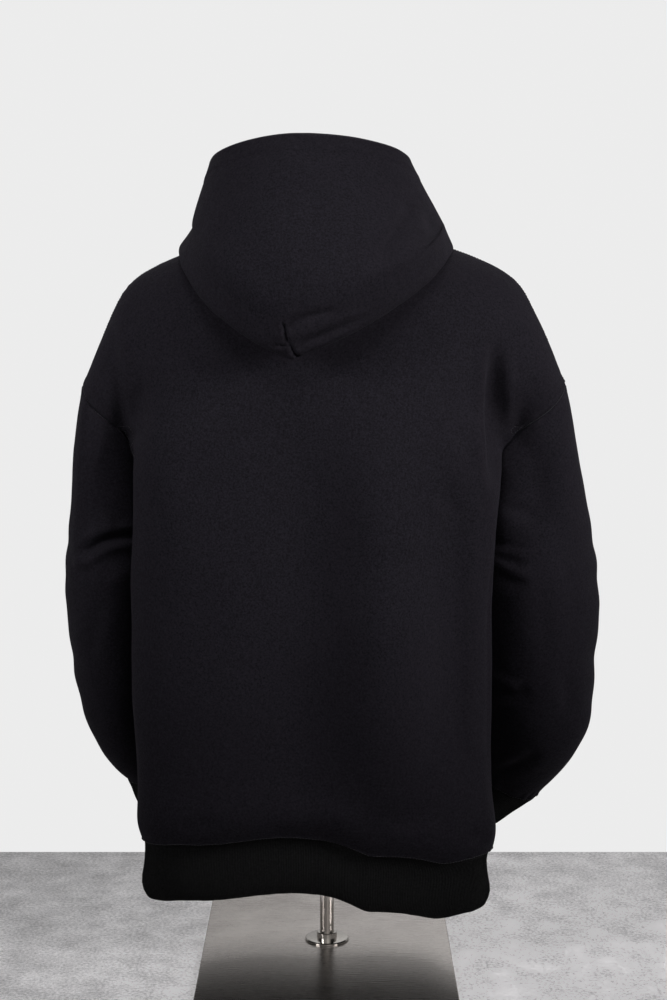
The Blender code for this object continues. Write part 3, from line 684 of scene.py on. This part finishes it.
def unevenness(points, seed, parts):
    """Smooth wander: waves in many directions. parts lists (height in mm, wavelength in mm)."""
    draw = np.random.default_rng(seed)
    total = np.zeros(points.shape[:-1])
    for height, wavelength in parts:
        for _ in range(WAVES):
            way = draw.normal(size=3)
            way *= TAU / (wavelength * MM * draw.uniform(0.75, 1.3) * np.linalg.norm(way))
            wave = np.sin(points @ way + draw.uniform(*PHASES))
            total += height * MM / math.sqrt(WAVES) * wave
    return total


WANDER = ((0.55, 150), (0.30, 62), (0.10, 24))


def near_seam(points, line):
    """Distance from a seam in metres and the length along it, on the points' grid."""
    gap, along, _ = nearest(points.reshape(-1, 3), line)
    total = lengths(line, 0)[-1]
    return gap.reshape(points.shape[:2]), along.reshape(points.shape[:2]) * total


def seam_push(gap, along, seed, ridge, turned, pucker, rows=()):
    """A sewn edge: turned in, with a soft ridge over its allowance, puckered, and pulled in
    at each row of topstitching. Heights in mm; ridge is (height, where, half width)."""
    d = gap / MM
    height, where, wide = ridge
    push = height * bump(d - where, wide) - turned * bump(d, 1.3)
    for row in rows:
        push -= 0.38 * bump(d - row, 0.8)
    draw = np.random.default_rng(seed)
    phase = sum(np.sin(along * TAU / (w * MM) + draw.uniform(*PHASES))
                for w in (7.3, 9.4, 12.5, 17.0)) / 2.2
    push += pucker * phase * bump(d, 8.0) * ease(d, 0.4, 2.5)
    return push * MM


# ---------------------------------------------------------------- meshes
def add_object(name, data):
    made = bpy.data.objects.new(name, data)
    bpy.context.scene.collection.objects.link(made)
    return made


def slab(name, grid, half, closed, flip, normal):
    """A closed piece of cloth: two skins, half the wall to each side of a grid of points,
    joined round its edges. Its map runs in metres across and along the cloth."""
    rows, wide = grid.shape[:2]
    half = np.broadcast_to(half, (rows, wide))[..., None]
    count = rows * wide
    verts = np.concatenate([(grid + normal * half).reshape(-1, 3),
                            (grid - normal * half).reshape(-1, 3)])
    index = np.arange(count).reshape(rows, wide)
    ring = np.concatenate([grid, grid[:, :1]], axis=1) if closed else grid
    if closed:
        index = np.concatenate([index, index[:, :1]], axis=1)
    across = lengths(ring, 1)
    across = across - across[:, ring.shape[1] // 2][:, None]
    chart = np.stack([across, lengths(ring, 0)], axis=-1)

    def corners(a):
        return np.stack([a[:-1, :-1], a[:-1, 1:], a[1:, 1:], a[1:, :-1]], axis=2)

    skin = corners(index).reshape(-1, 4)
    uv = corners(chart).reshape(-1, 4, 2)
    faces = [skin, skin[:, ::-1] + count]
    maps = [uv, uv[:, ::-1]]

    def hem(line, spots):
        a, b = line[:-1], line[1:]
        faces.append(np.stack([a, a + count, b + count, b], axis=1))
        maps.append(np.stack([spots[:-1], spots[:-1], spots[1:], spots[1:]], axis=1))
    hem(index[0], chart[0])
    hem(index[-1][::-1], chart[-1][::-1])
    if not closed:
        hem(index[::-1, 0], chart[::-1, 0])
        hem(index[:, -1], chart[:, -1])
    faces = np.concatenate(faces)
    maps = np.concatenate(maps)
    if flip:
        faces, maps = faces[:, ::-1], maps[:, ::-1]
    mesh = bpy.data.meshes.new(name)
    mesh.from_pydata(verts.tolist(), [], faces.tolist())
    layer = mesh.uv_layers.new(name="cloth")
    layer.uv.foreach_set("vector", np.ascontiguousarray(maps, np.float32).ravel())
    mesh.shade_smooth()
    return add_object(name, mesh)


SIDES = 6               # of a stitch


def stitches(name, rows, finish, pitch=3.3, long=2.5, thick=0.26):
    """Rows of topstitching as one piece. Each row is (points on the cloth, normals)."""
    verts, faces, count = [], [], 0
    ring = np.linspace(0.0, TAU, SIDES, endpoint=False)
    profile = ((-1.0, 0.30, -0.75), (-0.80, 0.85, -0.10), (0.0, 1.0, 0.30),
               (0.80, 0.85, -0.10), (1.0, 0.30, -0.75))
    for points, normal in rows:
        along = lengths(points, 0)
        number = int(along[-1] / (pitch * MM))
        spots = (np.arange(number) + 0.5) * along[-1] / number

        def at(where, rows):
            return np.stack([np.interp(where, along, rows[:, i]) for i in range(3)], 1)
        centre = at(spots, points)
        up = unit(at(spots, normal))
        way = unit(at(spots + 0.4 * MM, points) - at(spots - 0.4 * MM, points))
        side = np.cross(up, way)
        for c, u, w, s in zip(centre, up, way, side):
            for place, size, lift in profile:
                middle = c + w * place * long * MM / 2.0 + u * lift * thick * MM
                verts.append(middle + thick * MM * size * (
                    np.outer(np.cos(ring), s) + np.outer(np.sin(ring), u)))
            for r in range(len(profile) - 1):
                for k in range(SIDES):
                    a, b = count + r * SIDES + k, count + r * SIDES + (k + 1) % SIDES
                    faces.append((a, b, b + SIDES, a + SIDES))
            faces.append(tuple(count + k for k in range(SIDES - 1, -1, -1)))
            count += SIDES * len(profile)
            faces.append(tuple(count + k for k in range(-SIDES, 0)))
    mesh = bpy.data.meshes.new(name)
    mesh.from_pydata(np.concatenate(verts).tolist(), [], faces)
    mesh.shade_smooth()
    mesh.materials.append(finish)
    return add_object(name, mesh)


def skin_of(piece):
    """The piece's surface, to look up its nearest points."""
    mesh = piece.data
    return BVHTree.FromPolygons([v.co for v in mesh.vertices],
                                [tuple(p.vertices) for p in mesh.polygons])


ABOVE = 0.004           # how high over the cloth a row's places are looked up from
STITCH_LIFT = 0.00012   # how high over the cloth its stitches lie


def seam_row(tree, line, side, offset, closed=False):
    """A line on a piece's outer skin, at that distance to one side of a seam."""
    line = np.asarray(line, float)
    if closed:
        way = np.roll(line, -1, axis=0) - np.roll(line, 1, axis=0)
    else:
        way = np.gradient(line, axis=0)
    spots, ups = [], []
    for p, w in zip(line, way):
        near, normal, _, _ = tree.find_nearest(Vector(p))
        across = Vector(w).cross(normal).normalized() * side
        near, normal, _, _ = tree.find_nearest(Vector(p) + across * offset + normal * ABOVE)
        spots.append(near)
        ups.append(normal)
    spots, ups = np.array(spots), np.array(ups)
    if closed:
        spots, ups = looped(spots), looped(ups)
    return spots + ups * STITCH_LIFT, ups


# ---------------------------------------------------------------- materials
def plug(tree, made, *inputs):
    """Fill sockets, given as (socket, value or another node's output)."""
    for socket, value in inputs:
        if isinstance(value, bpy.types.NodeSocket):
            tree.links.new(value, made.inputs[socket])
        else:
            made.inputs[socket].default_value = value


def node(tree, kind, *inputs, **props):
    """A shader node. inputs fill its sockets; props are its settings."""
    made = tree.nodes.new("ShaderNode" + kind)
    for name, value in props.items():
        setattr(made, name, value)
    plug(tree, made, *inputs)
    return made


def blank(name):
    """A material, its tree, its surface shader, and the object's own coordinates."""
    finish = bpy.data.materials.new(name)
    finish.use_nodes = True
    tree = finish.node_tree
    place = node(tree, "TexCoord").outputs["Object"]
    return finish, tree, tree.nodes["Principled BSDF"], place


def relief(tree, strength, distance, height):
    """What the normal socket takes for a fine relief. distance is its depth in metres."""
    return "Normal", node(tree, "Bump", ("Strength", strength), ("Distance", distance),
                          ("Height", height)).outputs["Normal"]


def maths(tree, operation, *values):
    return node(tree, "Math", *enumerate(values), operation=operation).outputs[0]


def times(tree, *values):
    return maths(tree, "MULTIPLY", *values)


def blend(tree, *shares):
    """The sum of (value, weight) pairs."""
    total, *rest = [times(tree, value, weight) for value, weight in shares]
    for share in rest:
        total = maths(tree, "ADD", total, share)
    return total


def shades(colour, low, high):
    return tuple(c * low for c in colour), tuple(c * high for c in colour)


def noise(tree, where, scale, detail=3.0, rough=0.5):
    return node(tree, "TexNoise", ("Vector", where), ("Scale", scale), ("Detail", detail),
                ("Roughness", rough)).outputs["Fac"]


def ramp(tree, value, *stops):
    """Colours by value: stops are (position, grey or rgb)."""
    made = node(tree, "ValToRGB", ("Fac", value))
    line = made.color_ramp
    while len(line.elements) < len(stops):
        line.elements.new(0.5)
    for element, (position, colour) in zip(line.elements, stops):
        element.position = position
        rgb = (colour,) * 3 if isinstance(colour, float) else colour
        element.color = (*rgb, 1.0)
    return made.outputs["Color"]


def knit(name, colour, wale, course, height, sheen, tint):
    """Cotton knit: columns of loops on the cloth's own map, a fuzzy nap and uneven dye."""
    finish, tree, shader, place = blank(name)
    uv = node(tree, "UVMap", uv_map="cloth").outputs["UV"]
    apart = node(tree, "SeparateXYZ", ("Vector", uv))
    across = times(tree, apart.outputs["X"], 1.0 / wale)
    along = times(tree, apart.outputs["Y"], 1.0 / course)
    # a column of loops: high in its middle, the loops leaning out to both sides
    off = maths(tree, "ABSOLUTE", maths(tree, "SUBTRACT", maths(tree, "FRACT", across), 0.5))
    column = maths(tree, "COSINE", times(tree, off, math.pi))
    loop = maths(tree, "SINE", times(tree, maths(tree, "ADD", along, off), TAU))
    loops = times(tree, column, maths(tree, "MULTIPLY_ADD", loop, 0.35, 0.65))
    fuzz = noise(tree, place, 1400.0, 4.0, 0.7)
    slub = noise(tree, place, 160.0, 2.0)
    dye = blend(tree, (fuzz, 0.35), (noise(tree, place, 430.0, 4.0, 0.75), 0.65))
    dark, pale = shades(colour, 0.40, 1.64)
    plug(tree, shader,
         relief(tree, 0.55, height, blend(tree, (loops, 0.55), (fuzz, 0.8), (slub, 0.5))),
         ("Base Color", ramp(tree, dye, (0.36, dark), (0.64, pale))),
         ("Roughness", ramp(tree, slub, (0.30, 0.84), (0.70, 0.95))),
         ("Specular IOR Level", 0.05), ("Sheen Weight", sheen), ("Sheen Roughness", 0.45),
         ("Sheen Tint", (*tint, 1.0)))
    return finish


def thread(name, colour):
    finish, tree, shader, place = blank(name)
    fuzz = noise(tree, place, 3200.0, 2.0)
    dark, pale = shades(colour, 0.7, 1.3)
    plug(tree, shader, relief(tree, 0.4, 0.0001, fuzz),
         ("Base Color", ramp(tree, fuzz, (0.3, dark), (0.7, pale))),
         ("Roughness", 0.55), ("Specular IOR Level", 0.35))
    return finish


def linen(name):
    """The form's cover: plain weave in an off-white linen."""
    finish, tree, shader, place = blank(name)
    weft, warp = (
        node(tree, "TexWave", ("Vector", place), ("Scale", 330.0), ("Distortion", 2.0),
             ("Detail", 2.0), bands_direction=way).outputs["Fac"] for way in "ZX")
    weave = blend(tree, (weft, 0.5), (warp, 0.5))
    slub = noise(tree, place, 90.0, 5.0, 0.6)
    plug(tree, shader, relief(tree, 0.5, 0.0004, weave),
         ("Base Color", ramp(tree, times(tree, weave, slub), (0.10, (0.43, 0.40, 0.35)),
                             (0.55, (0.64, 0.61, 0.56)))),
         ("Roughness", ramp(tree, slub, (0.3, 0.82), (0.7, 0.94))),
         ("Specular IOR Level", 0.2))
    return finish


def streaks(tree, place, stretch, detail, rough):
    """Fine noise drawn out along one axis."""
    made = node(tree, "Mapping", ("Vector", place), ("Scale", stretch))
    return noise(tree, made.outputs["Vector"], 1.0, detail, rough)


def chrome(name):
    """Polished tube: faint long scratches and a touch of haze."""
    finish, tree, shader, place = blank(name)
    scratch = streaks(tree, place, (900.0, 900.0, 30.0), 3.0, 0.6)
    haze = noise(tree, place, 60.0, 4.0)
    plug(tree, shader, relief(tree, 0.06, 0.0002, scratch), ("Metallic", 1.0),
         ("Base Color", ramp(tree, haze, (0.3, (0.66, 0.62, 0.58)), (0.7, (0.74, 0.71, 0.67)))),
         ("Roughness", maths(tree, "MULTIPLY_ADD", haze, 0.10, 0.08)))
    return finish


def brushed(name):
    """The plate: steel brushed along its short side, with light handling marks."""
    finish, tree, shader, place = blank(name)
    grain = streaks(tree, place, (25.0, 1500.0, 1500.0), 4.0, 0.65)
    tone = blend(tree, (grain, 0.6), (noise(tree, place, 14.0, 6.0, 0.6), 0.4))
    plug(tree, shader, relief(tree, 0.10, 0.0003, grain), ("Metallic", 1.0),
         ("Base Color", ramp(tree, tone, (0.30, (0.42, 0.385, 0.365)),
                             (0.70, (0.55, 0.515, 0.49)))),
         ("Roughness", ramp(tree, tone, (0.30, 0.20), (0.70, 0.34))))
    return finish


JERSEY = (0.0135, 0.0120, 0.0156)
RIBBING = (0.0105, 0.0104, 0.0105)
jersey = knit("jersey_knit", JERSEY, 0.00115, 0.00085, 0.0004, 0.02, (0.75, 0.70, 0.85))
ribbing = knit("ribbed_knit", RIBBING, 0.0009, 0.0008, 0.0003, 0.01, (0.8, 0.8, 0.8))
sewing = thread("black_thread", (0.030, 0.029, 0.034))
FINISHES = {"jersey": jersey, "ribbing": ribbing}


# ---------------------------------------------------------------- the garment
WALL = CLOTH / 2.0
SHOULDER_ROWS = (2.0, 7.5)     # topstitching on the back, mm from the armhole and shoulder
HEM_ROW = 4.2                  # and one row above the hem rib, and above each cuff
CUFF_ROW = 4.0
# Where the random draws start.
SEEDS = {"wander": 7, "rib": 21, "gather": 31, "cuff": 33, "back": 100, "front": 200,
         "sleeve_head": 301, "sleeve_end": 311, "hood": 401}
# Rows below, beside and above the armhole, and columns.
PANEL_GRIDS = {"back": (72, 96, 56, 156), "front": (52, 72, 42, 118)}
SLEEVE_GRID = (150, 150)       # along it and around it
# The wearer's left, +X, and right.
ARMS = {1: ("left", SLEEVE_LEFT, CUFF_LEFT), -1: ("right", SLEEVE_RIGHT, CUFF_RIGHT)}
hem_line = body_point(HEM_LEVEL, np.linspace(-180.0, 180.0, 361))
neck_line = body_point(NECK_LEVEL, np.linspace(-179.99, 179.99, 181))


def level_line(low, high, side, count=40):
    """A side or shoulder seam, between two heights."""
    return body_point(np.linspace(low, high, count), side * 90.0)


def armhole_edge(back, side, count=90):
    """The armhole's edge on one panel, from the underarm to the notch."""
    half = (NOTCH_LEVEL - UNDERARM_LEVEL) / 2.0
    level = UNDERARM_LEVEL + half * (1.0 - np.cos(np.linspace(0.0, math.pi, count)))
    edge = panel_edge(level)
    return body_point(level, side * (edge if back else 180.0 - edge))


def crease_all(name, grid, normal, share=1.0):
    """The cloth's wander and all creases of a piece, in metres."""
    push = unevenness(grid, SEEDS["wander"], WANDER)
    for crease in CREASES[name]:
        push += crease_push(grid, normal, *crease) * share
    return push


def moved(grid, normal, push):
    return grid + normal * push[..., None]


def declare(node_name, made, slot):
    """Hang made pieces, the cloth and then its stitches, on the part in place of a node."""
    piece, *extras = made
    piece.data.materials.append(FINISHES[slot])
    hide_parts(node_name)
    for one in made:
        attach(one, "root")


def near_edge(half, gap, depth=0.0016):
    """Walls thinned towards an edge, so that it is rounded over."""
    return half * np.sqrt(1.0 - 0.75 * np.clip(1.0 - gap / depth, 0.0, 1.0) ** 2)


def folded_edge(half, left):
    """Half the wall, rounded over where the cloth folds back on itself at its edge."""
    t = np.clip(1.0 - left / half, 0.0, 1.0)
    return half * np.sqrt(np.maximum(1.0 - t * t, 0.02))


# Seams of a panel: seed, ridge, how far it turns in, pucker and rows of stitching.
SEAMS = {
    "hem": (0, (0.75, 2.6, 1.7), 1.0, 0.42, (HEM_ROW,)),
    "neck": (1, (0.3, 3.0, 2.0), 0.7, 0.30),
    "hole": (2, (0.65, 4.0, 2.6), 0.4, 0.34),
    "side": (6, (0.25, 3.0, 2.0), 0.5, 0.30),
    "shoulder": (10, (0.45, 3.5, 2.4), 0.8, 0.26),
}


def make_panel(back):
    name = "back" if back else "front"
    *rows, across = PANEL_GRIDS[name]
    grid, normal = panel_grid(back, panel_levels(*rows), across)
    push = crease_all(name, grid, normal)
    lines = {("hem", 0): hem_line, ("neck", 0): neck_line}
    for side in (-1, 1):
        lines["hole", side] = armhole_edge(back, side)
        lines["side", side] = level_line(HEM_LEVEL, UNDERARM_LEVEL, side)
        lines["shoulder", side] = level_line(NOTCH_LEVEL, NECK_LEVEL, side)
    gaps = []
    for (seam, side), line in lines.items():
        gap, along = near_seam(grid, line)
        gaps.append(gap)
        seed, *form = SEAMS[seam]
        if back and seam in ("hole", "shoulder"):
            form.append(SHOULDER_ROWS)
        push += seam_push(gap, along, SEEDS[name] + seed + side, *form)
    half = near_edge(WALL, np.min(gaps, axis=0))
    piece = slab(name + "_cloth", moved(grid, normal, push), half, False, back, normal)
    angles = np.linspace(-88.0, 88.0, 120) + (0.0 if back else 180.0)
    angles = np.where(angles > 180.0, angles - 360.0, angles)
    skin = skin_of(piece)
    rows = [seam_row(skin, body_point(HEM_LEVEL, angles), 1.0, HEM_ROW * MM)]
    if back:
        for side in (-1, 1):
            edge = armhole_edge(True, side)[6:]
            top = level_line(NOTCH_LEVEL, NECK_LEVEL, side)[1:-2]
            for offset in SHOULDER_ROWS:
                rows.append(seam_row(skin, np.concatenate([edge, top]), side, offset * MM))
    return piece, stitches(name + "_topstitch", rows, sewing)


def make_sleeve(side):
    name, flip = "sleeve_" + ARMS[side][0], side > 0
    grid = sleeve_grid(*ARMS[side][1:], side, *SLEEVE_GRID)
    normal = normals(grid, True, flip)
    push = crease_all(name, grid, normal)
    # gathered into the cuff
    down = lengths(grid, 0)
    left = (down[-1] - down) / MM
    turn = np.linspace(0.0, TAU, grid.shape[1], endpoint=False)
    draw = np.random.default_rng(SEEDS["gather"] + side)
    wave = sum(np.sin(count * turn + draw.uniform(0.0, TAU)) for count in (17, 23, 31, 12))
    push += wave * 0.42 * MM * bump(left, 16.0) * ease(left, 0.2, 3.0)
    top, end = near_seam(grid, looped(grid[0])), near_seam(grid, looped(grid[-1]))
    push += seam_push(*top, SEEDS["sleeve_head"] + side, (0.40, 2.6, 2.0), 0.4, 0.34)
    push += seam_push(*end, SEEDS["sleeve_end"] + side, (0.6, 3.0, 2.0), 0.9, 0.45,
                      (CUFF_ROW,))
    points = moved(grid, normal, push)
    shape = normals(points, True, flip)
    half = near_edge(WALL, np.minimum(top[0], end[0]))
    piece = slab(name + "_cloth", points, half, True, flip, shape)
    rows = [seam_row(skin_of(piece), grid[-1], -side, CUFF_ROW * MM, True)]
    return piece, stitches(name + "_topstitch", rows, sewing)


RIB_PITCH = 0.0018      # from one rib to the next


def ribs(grid, count, height):
    """Upright ribs, four columns to each."""
    wave = np.tile(np.array([-1.0, 0.25, 1.0, 0.25]), count)
    return np.broadcast_to(wave * height, grid.shape[:2])


def rib_count(round_way):
    return int(round(round_way / RIB_PITCH))


def make_hem():
    half = RIB / 2.0
    ends = RIB_HEIGHT - half * np.array([1.0, 0.62, 0.30, 0.10, 0.0])
    downs = np.concatenate([SEAM + np.array([-0.0018, -0.0004, 0.0012, 0.003]),
                            np.linspace(0.008, ends[0], 9)[:-1], ends])
    count = rib_count(lengths(rib_point(0.033, np.linspace(-180, 180, 721)), 0)[-1])
    grid = rib_grid(downs, 4 * count)
    push = unevenness(grid, SEEDS["wander"], WANDER)
    sag = unevenness(grid, SEEDS["rib"], ((0.35, 45), (0.22, 19)))
    push += sag * ease(downs, 0.0, 0.02)[:, None]
    push += ribs(grid, count, 0.30 * MM) * ease(downs, SEAM, 0.005)[:, None]
    push -= 0.9 * MM * bump(downs - SEAM, 0.0016)[:, None]
    points = moved(grid, normals(grid, True, False), push)
    walls = folded_edge(half, RIB_HEIGHT - downs)
    return [slab("hem_rib_cloth", points, walls[:, None], True, False,
                 normals(points, True, False))]


def make_cuff(side):
    hand, _, rings = ARMS[side]
    flip = side > 0
    trial = table_rings(rings, [0.4], 240, side)[1][0]
    count = rib_count(np.linalg.norm(trial - np.roll(trial, 1, axis=0), axis=1).sum())
    steps = np.concatenate([[0.0, 0.02, 0.05], np.linspace(0.10, 0.97, 16), [0.982, 0.991, 1.0]])
    grid = table_rings(rings, steps, 4 * count, side)[1]
    down = lengths(grid, 0)
    push = unevenness(grid, SEEDS["cuff"] + side, ((0.5, 60), (0.3, 25)))
    push = push * ease(steps, 0.0, 0.25)[:, None]
    push += ribs(grid, count, 0.28 * MM) * ease(steps, 0.0, 0.08)[:, None]
    push -= 0.8 * MM * bump(down, 0.0016)
    points = moved(grid, normals(grid, True, flip), push)
    walls = folded_edge(RIB / 2.0, down[-1] - down)
    return [slab(f"cuff_{hand}_cloth", points, walls, True, flip,
                 normals(points, True, flip))]


HOOD_HEM = 0.023        # depth of the face opening's hem
# Rows of the hood's grid up to each place on its way up, and how many columns it has.
HOOD_COUNTS, HOOD_PLACES = (0, 23, 80, 141, 151), (0.0, 0.34, 0.62, 0.965, 1.0)
HOOD_ACROSS = 211


def make_hood():
    spread = np.linspace(-180.0, 180.0, 3601)
    dense = 1.0 + 8.0 * bump(spread - 11.5, 6.5) + 0.9 * bump(spread + 30.0, 20.0)
    dense += 0.5 * bump(spread, 70.0)
    total = np.concatenate([[0.0], np.cumsum((dense[1:] + dense[:-1]) / 2.0)])
    angles = np.interp(np.linspace(0.0, total[-1], HOOD_ACROSS), total, spread)
    ups = np.interp(np.arange(HOOD_COUNTS[-1] + 1), HOOD_COUNTS, HOOD_PLACES)
    grid = hood_point(angles, ups)
    normal = normals(grid, False, True)
    outer = ease(ups, 0.40, 0.47)[:, None]
    push = crease_all("hood", grid, normal, outer)
    down = lengths(grid, 0)
    left = down[-1] - down
    hem = left / MM
    # the face opening's hem: three layers, stitched down
    thicker = 0.35 * MM * (1.0 - ease(hem, 22.0, 24.5))
    push -= 0.55 * MM * bump(hem - HOOD_HEM / MM, 1.3) * outer
    push += 0.35 * MM * bump(hem - 19.5, 2.2) * outer
    push += seam_push(*near_seam(grid, grid[0]), SEEDS["hood"], (0.4, 3.0, 2.0), 0.4, 0.2)
    points = moved(grid, normal, push)
    half = folded_edge(HOOD_CLOTH / 2.0 + thicker, left)
    ends = np.minimum(lengths(grid, 1), lengths(grid[:, ::-1], 1)[:, ::-1])
    half = near_edge(half, ends, 0.0014)
    piece = slab("hood_cloth", points, half, False, True, normals(points, False, True))
    rows = [seam_row(skin_of(piece), points[-1, 3:-3], -1.0, HOOD_HEM)]
    return piece, stitches("hood_topstitch", rows, sewing)


declare("back", make_panel(True), "jersey")
declare("front", make_panel(False), "jersey")
declare("sleeve_left", make_sleeve(1), "jersey")
declare("sleeve_right", make_sleeve(-1), "jersey")
declare("cuff_left", make_cuff(1), "ribbing")
declare("cuff_right", make_cuff(-1), "ribbing")
declare("hem_rib", make_hem(), "ribbing")
declare("hood", make_hood(), "jersey")

linen_cover, bright, steel = linen("linen_cover"), chrome("chrome_tube"), brushed("brushed_plate")
for node_name, finish in (("torso_form", linen_cover), ("pole", bright), ("flange", bright),
                          ("base_plate", steel)):
    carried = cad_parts[node_name]
    carried.data.materials.clear()
    carried.data.materials.append(finish)


# ---------------------------------------------------------------- stage, light, camera
BACKDROP = (0.84, 0.84, 0.84, 1.0)
FLOOR_EDGE = -0.337      # where the floor ends, as the photograph frames it


def mix(tree, share, first, second):
    return node(tree, "MixShader", (0, share), (1, first.outputs[0]), (2, second.outputs[0]))


def stage_floor(far=9.0):
    """A pale floor that glows with painted light and darkens towards the left and the back with
    painted shade, and the backdrop's plain tone beyond its edge. far is half its width.
    """
    mesh = bpy.data.meshes.new("floor")
    mesh.from_pydata([(-far, -far, 0), (far, -far, 0), (far, far, 0), (-far, far, 0)], [],
                     [(0, 1, 2, 3)])
    finish, tree, shader, place = blank("floor_tone")
    grain = noise(tree, place, 260.0, 5.0, 0.8)
    patch = noise(tree, place, 22.0, 4.0, 0.6)
    tone = ramp(tree, blend(tree, (grain, 0.7), (patch, 0.3)),
                (0.38, (0.40, 0.39, 0.395)), (0.62, (0.98, 0.96, 0.965)))
    apart = node(tree, "SeparateXYZ", ("Vector", place))
    x, y = (maths(tree, "ADD", apart.outputs[axis], 0.5) for axis in "XY")
    # Painted shade: the floor's tone is made darker towards the left and the back.
    painted_shade = times(tree, ramp(tree, x, (0.30, 0.98), (0.60, 0.90), (0.85, 0.72)),
                  ramp(tree, y, (0.16, 0.78), (0.60, 1.0)))
    tone = node(tree, "VectorMath", (0, tone), ("Scale", painted_shade), operation="SCALE").outputs[0]
    # Painted light: the floor glows in its own tone, with the painted shade in it.
    plug(tree, shader, ("Base Color", tone), ("Roughness", 0.95), ("Specular IOR Level", 0.1),
         ("Emission Color", tone), ("Emission Strength", 0.55))
    beyond = maths(tree, "LESS_THAN", apart.outputs["Y"], FLOOR_EDGE)
    wall = node(tree, "Emission", ("Color", BACKDROP), ("Strength", 1.0))
    path = node(tree, "LightPath")
    seen = maths(tree, "MAXIMUM", path.outputs["Is Camera Ray"], path.outputs["Is Glossy Ray"])
    plain = node(tree, "BsdfDiffuse", ("Color", (0.30, 0.30, 0.30, 1.0)))
    shown = mix(tree, seen, plain, mix(tree, beyond, shader, wall))
    plug(tree, tree.nodes["Material Output"], ("Surface", shown.outputs[0]))
    mesh.materials.append(finish)
    add_object("floor", mesh)


def area_light(name, place, aim, size, watts, colour, spread):
    lamp = bpy.data.lights.new(name, "AREA")
    lamp.shape = "RECTANGLE"
    lamp.size, lamp.size_y = size
    lamp.energy = watts
    lamp.spread = math.radians(spread)
    lamp.color = colour
    holder = add_object(name, lamp)
    holder.location = place
    way = np.array(aim, float) - np.array(place, float)
    way /= np.linalg.norm(way)
    holder.rotation_euler = (math.acos(-way[2]), 0.0, math.atan2(-way[0], way[1]))
    holder.visible_camera = False


def world_light():
    """Faint soft light all round, and a room of tones for polished metal to mirror."""
    world = bpy.data.worlds.new("studio")
    bpy.context.scene.world = world
    world.use_nodes = True
    tree = world.node_tree
    tree.nodes.clear()
    path = node(tree, "LightPath")
    seen = node(tree, "Background", ("Color", BACKDROP), ("Strength", 1.0))
    room = node(tree, "TexCoord").outputs["Generated"]
    apart = node(tree, "SeparateXYZ", ("Vector", room))
    up, aside = (maths(tree, "MULTIPLY_ADD", apart.outputs[axis], 0.5, 0.5) for axis in "ZX")
    tone = times(
        tree, ramp(tree, up, (0.0, 0.26), (0.48, 0.50), (0.62, 0.38), (0.80, 0.9), (1.0, 1.0)),
        ramp(tree, aside, (0.20, 0.50), (0.47, 1.0), (0.535, 0.48), (0.90, 0.35)))
    shine = node(tree, "Background", ("Color", tone), ("Strength", 1.0))
    soft = node(tree, "Background", ("Color", (0.92, 0.95, 1.0, 1.0)), ("Strength", 0.08))
    unseen = mix(tree, path.outputs["Is Glossy Ray"], soft, shine)
    shown = mix(tree, path.outputs["Is Camera Ray"], unseen, seen)
    node(tree, "OutputWorld", ("Surface", shown.outputs[0]))


stage_floor()
world_light()
# name, place, aim, size, watts, colour, spread in degrees
LIGHTS = (
    ("window", (-1.70, 1.15, 1.20), (-0.08, 0.10, 0.62), (0.6, 0.6), 2.05, (1.0, 0.99, 1.0), 40.0),
    ("fill", (1.70, 1.15, 1.20), (0.10, 0.05, 0.64), (0.6, 0.6), 1.22, (0.98, 0.98, 1.0), 40.0),
    ("high", (-0.15, 1.50, 2.00), (0.0, 0.12, 0.90), (0.6, 0.6), 0.42, (1.0, 0.99, 1.0), 32.0),
    ("overhead", (0.0, 0.3, 2.7), (0.0, 0.0, 0.4), (1.6, 1.6), 3.0, (1.0, 1.0, 1.0), 180.0),
    ("front_fill", (0.3, -2.4, 2.0), (0.0, 0.0, 0.5), (1.8, 1.4), 8.0, (1.0, 1.0, 1.0), 180.0),
)
for light in LIGHTS:
    area_light(*light)

SENSOR, LENS = 36.0, 66.6          # mm
EYE = (-0.0075, 2.05, 0.755)
EYE_DOWN = 6.78                    # degrees below level

scene = bpy.context.scene
scene.view_settings.view_transform = "Standard"
camera = bpy.data.cameras.new("camera")
camera.sensor_fit = "VERTICAL"
camera.sensor_height = SENSOR
camera.lens = LENS
eye = add_object("camera", camera)
eye.location = EYE
eye.rotation_euler = (math.radians(90.0 - EYE_DOWN), 0.0, math.pi)
scene.camera = eye
